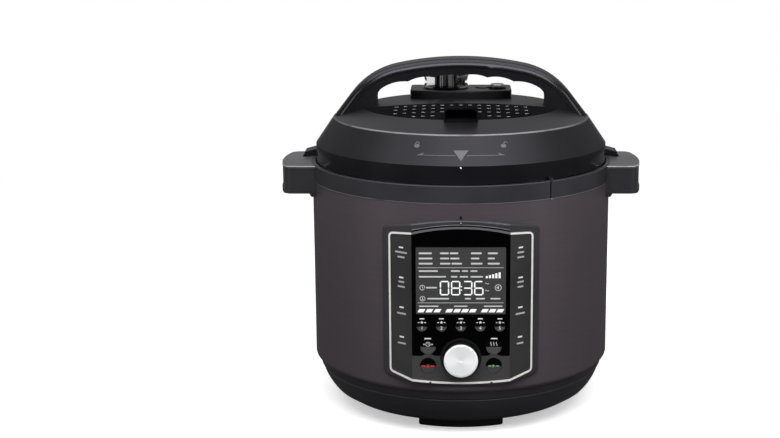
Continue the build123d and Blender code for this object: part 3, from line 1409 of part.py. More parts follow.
def steam_valve():
    """Polished ring of the weighted steam valve, with a waisted finger grip at each side."""
    middle = (VALVE_LOW_Z + VALVE_TOP_Z) / 2
    ring = revolved([
        Line((CORE_R, VALVE_LOW_Z), (VALVE_R - 0.6, VALVE_LOW_Z)),
        Line((VALVE_R - 0.6, VALVE_LOW_Z), (VALVE_R, VALVE_LOW_Z + 0.6)),
        ThreePointArc((VALVE_R, VALVE_LOW_Z + 0.6), (VALVE_R - VALVE_WAIST, middle), (VALVE_R, VALVE_TOP_Z - 1.2)),
        Line((VALVE_R, VALVE_TOP_Z - 1.2), (VALVE_R - 1.2, VALVE_TOP_Z)),
        Line((VALVE_R - 1.2, VALVE_TOP_Z), (CORE_R, VALVE_TOP_Z)),
        Line((CORE_R, VALVE_TOP_Z), (CORE_R, VALVE_LOW_Z)),
    ])
    reach = VALVE_R + 1
    low = VALVE_LOW_Z + VALVE_RING_T
    ring -= box(-reach, reach, VALVE_GRIP_HALF_W, reach, low, VALVE_TOP_Z + 1)
    ring -= box(-reach, reach, -reach, -VALVE_GRIP_HALF_W, low, VALVE_TOP_Z + 1)
    return Pos(VALVE_X, VALVE_Y, 0) * ring


def steam_valve_core():
    """Black body of the steam valve with the weight and needle under it."""
    bore = PIPE_R + SEAT_GAP
    core = lathe([
        (0, VALVE_TOP_Z + CORE_RISE),
        (CORE_R - 2.0, VALVE_TOP_Z + CORE_RISE - 0.6),
        (CORE_R, VALVE_TOP_Z + CORE_RISE - 2.2),
        (CORE_R, VALVE_LOW_Z),
        (WEIGHT_R, VALVE_LOW_Z),
        (WEIGHT_R, BLOCK_TOP_Z + SEAT_GAP),
        (bore, BLOCK_TOP_Z + SEAT_GAP),
        (bore, PIPE_TOP_Z + SEAT_GAP),
        (PIPE_BORE_R - SEAT_GAP, PIPE_TOP_Z + SEAT_GAP),
        (0, PIPE_TOP_Z + SEAT_GAP - NEEDLE_L),
    ])
    return Pos(VALVE_X, VALVE_Y, 0) * core


def float_valve():
    well_z = BLOCK_TOP_Z - FLOAT_RIM_T
    foot_z = PAN_UNDER_Z - FLOAT_TRAVEL - FLOAT_SEAL_T - 2
    pin = lathe([
        (0, foot_z),
        (FLOAT_SEAL_R - 0.6, foot_z),
        (FLOAT_SEAL_R - 0.6, foot_z + 1.6),
        (FLOAT_STEM_R, foot_z + 1.6),
        (FLOAT_STEM_R, well_z + SEAT_GAP),
        (FLOAT_R, well_z + SEAT_GAP),
        (FLOAT_R, FLOAT_TOP_Z - 1.0),
        (FLOAT_R - 1.0, FLOAT_TOP_Z),
        (0, FLOAT_TOP_Z),
    ])
    return Pos(FLOAT_X, FLOAT_Y, 0) * pin


def float_seal():
    low = PAN_UNDER_Z - FLOAT_TRAVEL - FLOAT_SEAL_T - 0.4
    return tube(FLOAT_SEAL_R, FLOAT_STEM_R, low, low + FLOAT_SEAL_T, FLOAT_X, FLOAT_Y)


def lid_pan():
    turn = math.sqrt(0.5)
    corner_c = PAN_R - PAN_CORNER_R
    in_r = PAN_CORNER_R - PAN_WALL
    corner_z = PAN_TOP_Z - PAN_CORNER_R
    edges = [
        Line((0, PAN_UNDER_Z), (corner_c, PAN_UNDER_Z)),
        ThreePointArc(
            (corner_c, PAN_UNDER_Z), (corner_c + in_r * turn, corner_z + in_r * turn), (corner_c + in_r, corner_z)),
        Line((corner_c + in_r, corner_z), (corner_c + in_r, PAN_BOTTOM_Z)),
        Line((corner_c + in_r, PAN_BOTTOM_Z), (PAN_R, PAN_BOTTOM_Z)),
        Line((PAN_R, PAN_BOTTOM_Z), (PAN_R, corner_z)),
        ThreePointArc(
            (PAN_R, corner_z),
            (corner_c + PAN_CORNER_R * turn, corner_z + PAN_CORNER_R * turn),
            (corner_c, PAN_TOP_Z),
        ),
        Line((corner_c, PAN_TOP_Z), (0, PAN_TOP_Z)),
        Line((0, PAN_TOP_Z), (0, PAN_UNDER_Z)),
    ]
    pan = revolved(edges) + ring_lugs(PAN_LUG_R, PAN_R - 0.5, PAN_BOTTOM_Z, PAN_LUG_TOP_Z)
    pan -= disc(PIPE_R, PAN_UNDER_Z - 1, PAN_TOP_Z + 1, VALVE_X, VALVE_Y)
    pan -= disc(FLOAT_STEM_R + SEAT_GAP, PAN_UNDER_Z - 1, PAN_TOP_Z + 1, FLOAT_X, FLOAT_Y)
    for x, y in lid_post_places():
        pan -= disc(LID_SCREW_R, PAN_UNDER_Z - 1, PAN_TOP_Z + 1, x, y)
    return pan


def sealing_ring():
    outer = PAN_R - PAN_WALL
    return lathe([
        (SEAL_INNER_R, SEAL_BOTTOM_Z + SEAL_LIP / 2),
        (SEAL_INNER_R + SEAL_LIP, SEAL_BOTTOM_Z),
        (outer - 1.4, SEAL_BOTTOM_Z),
        (outer, SEAL_BOTTOM_Z + 1.8),
        (outer, SEAL_TOP_Z),
        (outer - SEAL_LIP, SEAL_TOP_Z),
        (outer - SEAL_LIP - 1, SEAL_BOTTOM_Z + 1.5 * SEAL_LIP),
        (SEAL_INNER_R + SEAL_LIP, SEAL_BOTTOM_Z + 1.5 * SEAL_LIP),
        (SEAL_INNER_R + 2, SEAL_TOP_Z - 2),
        (SEAL_INNER_R, SEAL_TOP_Z - 2),
    ])


def ring_rack():
    z = (SEAL_BOTTOM_Z + SEAL_TOP_Z) / 2
    wire = Pos(0, 0, z) * Torus(SEAL_INNER_R - RACK_WIRE_R, RACK_WIRE_R)
    reach = SEAL_INNER_R - 2 * RACK_WIRE_R
    clips = tube(reach + 0.8, reach - 0.8, z, PAN_UNDER_Z)
    for heading in (0, 90, 180, 270):
        wire += clips & sector(3, heading, z, PAN_UNDER_Z)
    return wire


def anti_block_shield():
    low = PAN_UNDER_Z - SHIELD_DROP
    floor = low + SHIELD_WALL
    in_r = SHIELD_R - SHIELD_WALL
    cup = lathe([
        (0, low),
        (SHIELD_R - SHIELD_CORNER, low),
        (SHIELD_R, low + SHIELD_CORNER),
        (SHIELD_R, PAN_UNDER_Z),
        (in_r, PAN_UNDER_Z),
        (in_r, low + SHIELD_CORNER + 0.4),
        (SHIELD_R - SHIELD_CORNER - 0.4, floor),
        (0, floor),
    ])
    half = SHIELD_SLOT_W / 2
    slot = box(in_r - 4, SHIELD_R + 3, -half, half, low + SHIELD_CORNER + 1.5, PAN_UNDER_Z - 2)
    for i in range(SHIELD_SLOTS):
        cup -= Rot(0, 0, i * 360 / SHIELD_SLOTS) * slot
    return Pos(VALVE_X, VALVE_Y, 0) * cup


def lid_screws():
    screws = []
    for x, y in lid_post_places():
        head = disc(LID_SCREW_HEAD_R, PAN_UNDER_Z - LID_SCREW_HEAD_T, PAN_UNDER_Z, x, y)
        head = fillet(head.edges().group_by(Axis.Z)[0], LID_SCREW_HEAD_T / 2)
        shaft = disc(LID_SCREW_R, PAN_UNDER_Z - 1, PAN_TOP_Z + LID_SCREW_BITE, x, y)
        screws.append((head + shaft).solid())
    return Compound(screws)


# ---------------------------------------------------------------- writing the parts
def all_parts():
    """Every node's name and shape."""
    handle = side_handle()
    cap = handle_cap()
    parts = {
        "base_skirt": base_skirt(),
        "feet": feet(),
        "outer_shell": outer_shell(),
        "collar_ring": collar_ring(),
        "side_handle_right": handle,
        "side_handle_left": mirrored(handle),
        "handle_cap_right": cap,
        "handle_cap_left": mirrored(cap),
        "inner_housing": inner_housing(),
        "locking_flange": locking_flange(),
        "inner_pot": inner_pot(),
        "heating_plate": heating_plate(),
        "heater_terminals": heater_terminals(),
        "sensor_plunger": sensor_plunger(),
        "sensor_spring": sensor_spring(),
        "base_screws": base_screws(),
        "power_board": power_board(),
        "power_board_parts": power_board_parts(),
        "inlet_socket": inlet_socket(),
        "inlet_pins": inlet_pins(),
        "panel_bezel": panel_bezel(),
        "panel_trim": panel_trim(),
        "panel_overlay": panel_overlay(),
        "panel_window": panel_window(),
        "display_lens": display_lens(),
        "display_module": display_module(),
        "control_board": control_board(),
        "key_switches": key_switches(),
        "dial_ring": dial_ring(),
        "encoder_body": encoder_body(),
        "encoder_rotor": encoder_rotor(),
        "dial_shaft": dial_shaft(),
        "dial_knob": dial_knob(),
        "collector_bracket": collector_bracket(),
        "collector_cup": collector_cup(),
        "lid_cover": lid_cover(),
        "lid_handle": lid_handle(),
        "handle_grip": handle_grip(),
        "steam_cover": steam_cover(),
        "valve_block": valve_block(),
        "release_button": release_button(),
        "steam_pipe": steam_pipe(),
        "steam_valve": steam_valve(),
        "steam_valve_core": steam_valve_core(),
        "float_valve": float_valve(),
        "float_seal": float_seal(),
        "lid_pan": lid_pan(),
        "sealing_ring": sealing_ring(),
        "ring_rack": ring_rack(),
        "anti_block_shield": anti_block_shield(),
        "lid_screws": lid_screws(),
    }
    for name, x, z, radius in key_places():
        parts[name] = key_cap(x, z, radius)
    return parts


def main():
    os.makedirs("parts", exist_ok=True)
    for name, shape in all_parts().items():
        export_step(shape, f"parts/{name}.step")


main()
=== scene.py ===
"""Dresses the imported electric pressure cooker: finishes, printed panel, lit display, lid marks and studio."""
from __future__ import annotations

import json
import logging
import math
from dataclasses import dataclass, field
from enum import Enum
from typing import Callable, Iterable, Sequence

import bmesh
import bpy
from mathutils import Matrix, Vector

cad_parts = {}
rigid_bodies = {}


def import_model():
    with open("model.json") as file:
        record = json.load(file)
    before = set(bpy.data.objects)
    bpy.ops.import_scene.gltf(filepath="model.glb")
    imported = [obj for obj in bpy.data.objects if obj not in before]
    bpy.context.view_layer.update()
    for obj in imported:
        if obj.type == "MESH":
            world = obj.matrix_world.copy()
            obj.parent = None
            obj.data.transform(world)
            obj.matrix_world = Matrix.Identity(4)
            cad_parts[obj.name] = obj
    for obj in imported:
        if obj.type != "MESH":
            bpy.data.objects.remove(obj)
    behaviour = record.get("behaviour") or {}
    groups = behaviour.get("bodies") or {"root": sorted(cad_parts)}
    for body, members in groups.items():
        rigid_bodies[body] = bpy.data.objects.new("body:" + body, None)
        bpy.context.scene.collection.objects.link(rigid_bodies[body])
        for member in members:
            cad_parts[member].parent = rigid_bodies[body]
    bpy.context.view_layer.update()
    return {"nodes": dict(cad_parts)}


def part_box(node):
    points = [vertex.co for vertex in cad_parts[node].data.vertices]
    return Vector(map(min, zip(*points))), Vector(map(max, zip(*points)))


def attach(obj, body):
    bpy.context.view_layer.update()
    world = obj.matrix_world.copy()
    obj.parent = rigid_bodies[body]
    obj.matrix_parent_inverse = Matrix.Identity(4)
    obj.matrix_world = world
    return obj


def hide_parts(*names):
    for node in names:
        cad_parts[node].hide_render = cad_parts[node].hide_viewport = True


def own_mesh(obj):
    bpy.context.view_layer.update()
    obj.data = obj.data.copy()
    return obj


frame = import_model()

MM = 0.001
INK_T = 0.05
INK_SUNK = 0.02
LOG = logging.getLogger("cooker")


class Facing(Enum):
    """Axis that a turned piece is spun about."""

    FRONT = "front"
    UP = "up"


Colour = tuple[float, float, float]
Point = tuple[float, float]
Surface = Callable[[float, float, float], Vector]


def tone(red: int, green: int, blue: int) -> Colour:
    """Linear colour of a display colour given from 0 to 255.

    Args:
        red: Red, from 0 to 255.
        green: Green, from 0 to 255.
        blue: Blue, from 0 to 255.

    Returns:
        The linear colour, from 0 to 1.
    """
    def linear(value: int) -> float:
        """One channel made linear."""
        share = value / 255
        return share / 12.92 if share <= 0.04045 else ((share + 0.055) / 1.055) ** 2.4
    return linear(red), linear(green), linear(blue)


# ---------------------------------------------------------------- node graphs
class Signal:
    """A node socket that takes part in arithmetic."""

    def __init__(self, graph: "Graph", socket: bpy.types.NodeSocket) -> None:
        """Holds the socket and the graph that it belongs to."""
        self.graph = graph
        self.socket = socket

    def _math(self, operation: str, *others: object) -> "Signal":
        """Result of one Math node on this value and others."""
        values = dict(enumerate((self, *others)))
        return self.graph.out("ShaderNodeMath", values, operation=operation)

    def _turned(self, operation: str, other: object) -> "Signal":
        """Result of one Math node on another value and this one, in that order."""
        return self.graph.out("ShaderNodeMath", {0: other, 1: self}, operation=operation)

    def __add__(self, other: object) -> "Signal":
        """This value plus another."""
        return self._math("ADD", other)

    __radd__ = __add__

    def __mul__(self, other: object) -> "Signal":
        """This value times another."""
        return self._math("MULTIPLY", other)

    __rmul__ = __mul__

    def __sub__(self, other: object) -> "Signal":
        """This value less another."""
        return self._math("SUBTRACT", other)

    def __rsub__(self, other: object) -> "Signal":
        """Another value less this one."""
        return self._turned("SUBTRACT", other)

    def __pow__(self, other: object) -> "Signal":
        """This value to a power."""
        return self._math("POWER", other)

    def __rpow__(self, other: object) -> "Signal":
        """Another value to the power of this one."""
        return self._turned("POWER", other)

    def __lt__(self, other: object) -> "Signal":
        """1 where this value is below another, otherwise 0."""
        return self._math("LESS_THAN", other)

    def __gt__(self, other: object) -> "Signal":
        """1 where this value is above another, otherwise 0."""
        return self._math("GREATER_THAN", other)

    def __abs__(self) -> "Signal":
        """This value without its sign."""
        return self._math("ABSOLUTE")

    def __or__(self, other: object) -> "Signal":
        """The larger of two values, which joins two masks."""
        return self._math("MAXIMUM", other)

    __ror__ = __or__

    def __and__(self, other: object) -> "Signal":
        """The smaller of two values, which crosses two masks."""
        return self._math("MINIMUM", other)

    __rand__ = __and__

    def root(self) -> "Signal":
        """Square root of this value."""
        return self._math("SQRT")

    def ramp(self, low: float, high: float) -> "Signal":
        """Smooth step from 0 at one value to 1 at another.

        Args:
            low: Value that gives 0.
            high: Value that gives 1.

        Returns:
            The step.
        """
        return self.graph.out(
            "ShaderNodeMapRange", {"Value": self, "From Min": low, "From Max": high},
            interpolation_type="SMOOTHSTEP")


class Graph:
    """A node tree that is written as expressions."""

    def __init__(self, tree: bpy.types.NodeTree) -> None:
        """Holds the tree."""
        self.tree = tree

    def node(self, kind: str, values: dict | None = None, **settings: object) -> bpy.types.Node:
        """Adds a node.

        Args:
            kind: The node's type.
            values: Socket name or number against a value or a signal.
            settings: The node's own settings, which are set first.

        Returns:
            The new node.
        """
        node = self.tree.nodes.new(kind)
        for name, setting in settings.items():
            setattr(node, name, setting)
        for key, value in (values or {}).items():
            socket = node.inputs[key]
            if isinstance(value, Signal):
                self.tree.links.new(value.socket, socket)
            elif isinstance(value, bpy.types.NodeSocket):
                self.tree.links.new(value, socket)
            elif socket.type == "RGBA" and len(value) == 3:
                socket.default_value = (*value, 1.0)
            else:
                socket.default_value = value
        return node

    def out(self, kind: str, values: dict | None = None, output: int | str = 0, **settings: object) -> Signal:
        """Adds a node and gives one of its outputs as a signal."""
        return Signal(self, self.node(kind, values, **settings).outputs[output])

    def axes(self, vector: Signal) -> tuple[Signal, Signal, Signal]:
        """The three parts of a vector."""
        split = self.node("ShaderNodeSeparateXYZ", {0: vector})
        return tuple(Signal(self, split.outputs[i]) for i in range(3))

    def place(self, centre: Sequence[float] = (0, 0, 0), scale: Sequence[float] = (1, 1, 1)) -> Signal:
        """Object coordinates measured from a centre and scaled on each axis.

        Args:
            centre: The centre, in metres.
            scale: Scale on each axis.

        Returns:
            The coordinates.
        """
        coords = self.out("ShaderNodeTexCoord", output="Object")
        shift = tuple(-c * s for c, s in zip(centre, scale))
        return self.out("ShaderNodeMapping", {"Vector": coords, "Location": shift, "Scale": scale})

    def noise(self, vector: Signal, scale: float, detail: float = 2.0) -> Signal:
        """Cloudy value from 0 to 1."""
        return self.out(
            "ShaderNodeTexNoise", {"Vector": vector, "Scale": scale, "Detail": detail}, output=0)

    def blend(self, factor: Signal | float, first: object, second: object) -> Signal:
        """Colour between two colours."""
        return self.out(
            "ShaderNodeMix", {0: factor, 6: first, 7: second}, output=2, data_type="RGBA")

    def bump(self, height: Signal, depth: float, strength: float = 1.0) -> Signal:
        """Normal of a surface with this height over it, in metres of depth."""
        return self.out("ShaderNodeBump", {"Height": height, "Distance": depth, "Strength": strength})


# ---------------------------------------------------------------- finishes
@dataclass(frozen=True)
class Finish:
    """A surface finish with fixed gloss and a pattern that subclasses draw.

    The field clear is the share of light that passes through, and gleam tints the light that it mirrors.
    """

    name: str
    colour: Colour
    roughness: float = 0.5
    metallic: float = 0.0
    specular: float = 0.5
    coat: float = 0.0
    coat_roughness: float = 0.1
    clear: float = 0.0
    gleam: Colour = (1.0, 1.0, 1.0)

    def pattern(self, graph: Graph) -> dict[str, object]:
        """Values or signals of the sockets that vary over the surface.

        Args:
            graph: The material's graph.

        Returns:
            Socket name against its value or signal.
        """
        cloud = graph.noise(graph.place(), 38.0)
        return {"Roughness": (cloud - 0.5) * 0.08 + self.roughness}

    def build(self) -> bpy.types.Material:
        """Makes the material, once.

        Returns:
            The material.
        """
        known = bpy.data.materials.get(self.name)
        if known:
            return known
        material = bpy.data.materials.new(self.name)
        material.use_nodes = True
        tree = material.node_tree
        tree.nodes.clear()
        graph = Graph(tree)
        fixed = {
            "Base Color": self.colour, "Roughness": self.roughness, "Metallic": self.metallic,
            "Specular IOR Level": self.specular, "Coat Weight": self.coat, "Coat Roughness": self.coat_roughness,
            "Transmission Weight": self.clear, "Specular Tint": self.gleam,
        }
        shader = graph.node("ShaderNodeBsdfPrincipled", {**fixed, **self.pattern(graph)})
        graph.node("ShaderNodeOutputMaterial", {"Surface": shader.outputs[0]})
        material.diffuse_color = (*self.colour, 1.0)
        return material


@dataclass(frozen=True)
class Moulded(Finish):
    """Moulded plastic with a fine spark-eroded grain and slightly paler, drier wear."""

    grain: float = 0.55
    depth: float = 0.012
    gleam: Colour = (0.93, 0.9, 1.0)

    def pattern(self, graph: Graph) -> dict[str, object]:
        """Grain in the bump, and soft clouds in colour and gloss.

        Args:
            graph: The material's graph.

        Returns:
            Socket name against its value or signal.
        """
        place = graph.place()
        fine = graph.noise(place, 1.0 / (self.grain * MM), 1.0)
        cloud = graph.noise(place, 21.0)
        paler = tuple(min(1.0, c * 1.22 + 0.001) for c in self.colour)
        darker = tuple(c * 0.86 for c in self.colour)
        return {
            "Base Color": graph.blend(cloud.ramp(0.3, 0.7), darker, paler),
            "Roughness": (cloud - 0.5) * 0.07 + (fine - 0.5) * 0.05 + self.roughness,
            "Normal": graph.bump(fine, self.depth * MM),
        }


@dataclass(frozen=True)
class Hairline(Finish):
    """Brushed sheet, with fine hairlines that run round the upright axis."""

    contrast: float = 0.1
    depth: float = 0.003

    def pattern(self, graph: Graph) -> dict[str, object]:
        """Hairlines in colour, gloss and bump.

        Args:
            graph: The material's graph.

        Returns:
            Socket name against its value or signal.
        """
        hairs = graph.noise(graph.place(scale=(26.0, 26.0, 2600.0)), 1.0, 3.0)
        bands = graph.noise(graph.place(scale=(9.0, 9.0, 420.0)), 1.0, 1.0)
        mark = (hairs * 0.7 + bands * 0.3).ramp(0.32, 0.68)
        dark = tuple(c * (1 - self.contrast) for c in self.colour)
        light = tuple(min(1.0, c * (1 + self.contrast)) for c in self.colour)
        return {
            "Base Color": graph.blend(mark, dark, light),
            "Roughness": (hairs - 0.5) * 0.16 + self.roughness,
            "Normal": graph.bump(hairs, self.depth * MM, 0.6),
        }


@dataclass(frozen=True)
class Spun(Finish):
    """Turned metal with rings about an axis, and a painted sheen in fan shapes where the tool marks would catch light.
    """

    centre: Colour = (0.0, 0.0, 0.0)
    facing: Facing = Facing.UP
    # Depth of the painted sheen: how much darker the colour is between its fan shapes.
    painted_sheen: float = 0.06

    def pattern(self, graph: Graph) -> dict[str, object]:
        """Rings in bump and gloss, and a painted sheen in fan shapes in the colour.

        Args:
            graph: The material's graph.

        Returns:
            Socket name against its value or signal.
        """
        x, y, z = graph.axes(graph.place(centre=self.centre))
        across, up = (x, z) if self.facing is Facing.FRONT else (x, y)
        radius = (across * across + up * up).root()
        angle = graph.out("ShaderNodeMath", {0: up, 1: across}, operation="ARCTAN2")
        line = graph.out("ShaderNodeCombineXYZ", {0: radius * 5200.0})
        rings = graph.noise(line, 1.0, 2.0)
        # Painted sheen: the colour is darker away from two fan-shaped sectors, where the tool marks would catch light.
        fan = graph.out("ShaderNodeMath", {0: angle * 2.0 + 0.2}, operation="COSINE")
        fan_sheen = (fan * 0.5 + 0.5) ** 2.0
        dark = tuple(c * (1 - self.painted_sheen) for c in self.colour)
        return {
            "Base Color": graph.blend(fan_sheen, dark, self.colour),
            "Roughness": (rings - 0.5) * 0.12 + self.roughness,
            "Normal": graph.bump(rings, 0.004 * MM, 0.5),
        }


@dataclass(frozen=True)
class DialFace(Spun):
    """Turned metal disc with a painted highlight round its edge, coloured near black behind its face."""

    face_y: float = 0.0
    disc_r: float = 14.3
    side: Colour = (0.004, 0.004, 0.004)

    def pattern(self, graph: Graph) -> dict[str, object]:
        """Metal in front of the knob's edge and near black behind it, with a painted highlight round the disc's edge.

        Args:
            graph: The material's graph.

        Returns:
            Socket name against its value or signal.
        """
        values = super().pattern(graph)
        x, y, z = graph.axes(graph.place(centre=self.centre))
        radius = (x * x + z * z).root()
        metal = y < (self.face_y + 1.1) * MM
        # Painted highlight: a bright band just inside the disc's edge.
        rim_highlight = (radius > (self.disc_r - 0.9) * MM) & (radius < self.disc_r * MM) & metal
        bright = graph.blend(rim_highlight, values["Base Color"], (0.97, 0.97, 0.97))
        return {
            **values,
            "Base Color": graph.blend(metal, self.side, bright),
            "Metallic": metal * self.metallic,
        }


@dataclass(frozen=True)
class EdgeHighlight(Moulded):
    """Moulded plastic whose round edges at given heights are a little smoother and carry a painted highlight as a
    broken pale line, polished below a height.
    """

    edges: tuple[tuple[float, float], ...] = ()
    # Colour of the painted highlight along the edges.
    laid_on: Colour = (0.25, 0.25, 0.25)
    polished_below: float = 0.0
    polish: float = 0.0
    # Share of the painted highlight that fades away from the front.
    front_highlight: float = 0.0

    def pattern(self, graph: Graph) -> dict[str, object]:
        """The plastic's own pattern with a broken pale line of painted highlight along each edge.

        Args:
            graph: The material's graph.

        Returns:
            Socket name against its value or signal.
        """
        values = super().pattern(graph)
        _, y, z = graph.axes(graph.place())
        # Painted highlight along each edge, broken up by noise and kept strongest at the front.
        highlit = z * 0.0
        for height, half in self.edges:
            highlit = highlit | (1 - abs(z - height * MM).ramp(half * 0.3 * MM, half * MM))
        highlit = highlit * graph.noise(graph.place(), 45.0).ramp(0.1, 0.5)
        highlit = highlit * (1 - y.ramp(-120 * MM, -30 * MM) * self.front_highlight)
        smooth = 1 - z.ramp((self.polished_below - 0.3) * MM, (self.polished_below + 0.3) * MM)
        return {
            **values,
            "Base Color": graph.blend(highlit, values["Base Color"], self.laid_on),
            "Roughness": values["Roughness"] - highlit * 0.08 - smooth * self.polish,
        }


@dataclass(frozen=True)
class FilmWithPaintedLight(Moulded):
    """Printed panel film with painted light: its flat centre is coloured paler than the wings, which turn away from the
    light.
    """

    # Paler colour of the flat centre, which is painted light.
    centre: Colour = (0.05, 0.05, 0.05)
    knee_x: float = 42.0

    def pattern(self, graph: Graph) -> dict[str, object]:
        """The film's own grain over its tone and the paler painted light of the centre.

        Args:
            graph: The material's graph.

        Returns:
            Socket name against its value or signal.
        """
        values = super().pattern(graph)
        x, _, _ = graph.axes(graph.place())
        return {**values, "Base Color": graph.blend(abs(x) < self.knee_x * MM, values["Base Color"], self.centre)}


@dataclass(frozen=True)
class Cast(Finish):
    """Cast and faced metal with a coarse skin."""

    def pattern(self, graph: Graph) -> dict[str, object]:
        """Pits and stains.

        Args:
            graph: The material's graph.

        Returns:
            Socket name against its value or signal.
        """
        place = graph.place()
        pits = graph.noise(place, 900.0, 4.0)
        stain = graph.noise(place, 45.0, 3.0)
        dark = tuple(c * 0.72 for c in self.colour)
        return {
            "Base Color": graph.blend(stain.ramp(0.3, 0.75), dark, self.colour),
            "Roughness": (stain - 0.5) * 0.2 + self.roughness,
            "Normal": graph.bump(pits, 0.06 * MM),
        }


@dataclass(frozen=True)
class Polished(Finish):
    """Polished plating or gloss plastic with faint smears."""

    def pattern(self, graph: Graph) -> dict[str, object]:
        """Smears in the gloss only.

        Args:
            graph: The material's graph.

        Returns:
            Socket name against its value or signal.
        """
        smear = graph.noise(graph.place(scale=(60.0, 22.0, 60.0)), 1.0, 3.0)
        return {"Roughness": smear.ramp(0.35, 0.8) * 0.05 + self.roughness}


@dataclass(frozen=True)
class SolderMask(Finish):
    """Circuit board with covered copper tracks and bright pads."""

    def pattern(self, graph: Graph) -> dict[str, object]:
        """Tracks as a raised lighter pattern, and pads as small metal dots.

        Args:
            graph: The material's graph.

        Returns:
            Socket name against its value or signal.
        """
        place = graph.place()
        cells = graph.out("ShaderNodeTexBrick", {
            "Vector": place, "Scale": 60.0, "Mortar Size": 0.06, "Color1": (0, 0, 0), "Color2": (0, 0, 0),
            "Mortar": (1, 1, 1), "Brick Width": 0.35, "Row Height": 0.2}, output=0)
        track = graph.axes(cells)[0]
        pads = graph.out("ShaderNodeTexVoronoi", {"Vector": place, "Scale": 260.0}, output=0) < 0.13
        lighter = tuple(min(1.0, c * 1.9) for c in self.colour)
        green = graph.blend(track, self.colour, lighter)
        return {
            "Base Color": graph.blend(pads, green, tone(190, 190, 186)),
            "Metallic": pads * 0.9,
            "Normal": graph.bump(track | pads, 0.05 * MM),
        }


@dataclass(frozen=True)
class CreasedKeyPaintedShade(Finish):
    """Key cap with painted shade: black above its crease, where the cap faces down, and its own lit grey below it."""

    crease_z: float = 0.0
    # Lit grey of the lower half; the black above the crease is painted shade.
    lower: Colour = (0.05, 0.05, 0.05)

    def pattern(self, graph: Graph) -> dict[str, object]:
        """Colour by height about the crease: painted shade above it and lit grey below it.

        Args:
            graph: The material's graph.

        Returns:
            Socket name against its value or signal.
        """
        _, _, z = graph.axes(graph.place())
        below = z < self.crease_z * MM
        cloud = graph.noise(graph.place(), 400.0)
        return {
            "Base Color": graph.blend(below, self.colour, self.lower),
            "Roughness": (cloud - 0.5) * 0.05 + self.roughness,
        }


@dataclass(frozen=True)
class ArchDarkenedTrim(Finish):
    """Bright satin metal strip, dark over the arched top."""

    dark: Colour = (0.18, 0.18, 0.18)
    knee_x: float = 42.0

    def pattern(self, graph: Graph) -> dict[str, object]:
        """Colour by place along the strip.

        Args:
            graph: The material's graph.

        Returns:
            Socket name against its value or signal.
        """
        x, _, z = graph.axes(graph.place())
        arch = (abs(x) < self.knee_x * MM) & (z > 150 * MM)
        scratch = graph.noise(graph.place(scale=(40.0, 40.0, 900.0)), 1.0)
        return {
            "Base Color": graph.blend(arch, self.colour, self.dark),
            "Metallic": arch * 0.2 + self.metallic,
            "Roughness": (scratch - 0.5) * 0.1 + self.roughness,
        }


@dataclass(frozen=True)
class Ink(Finish):
    """Printed ink, a little uneven, or a lit segment."""

    glow: float = 0.0

    def pattern(self, graph: Graph) -> dict[str, object]:
        """Slightly uneven cover.

        Args:
            graph: The material's graph.

        Returns:
            Socket name against its value or signal.
        """
        cover = graph.noise(graph.place(), 900.0)
        thin = tuple(c * 0.88 for c in self.colour)
        values: dict[str, object] = {"Base Color": graph.blend(cover.ramp(0.25, 0.6), thin, self.colour)}
        if self.glow:
            values["Emission Color"] = self.colour
            values["Emission Strength"] = self.glow
        return values


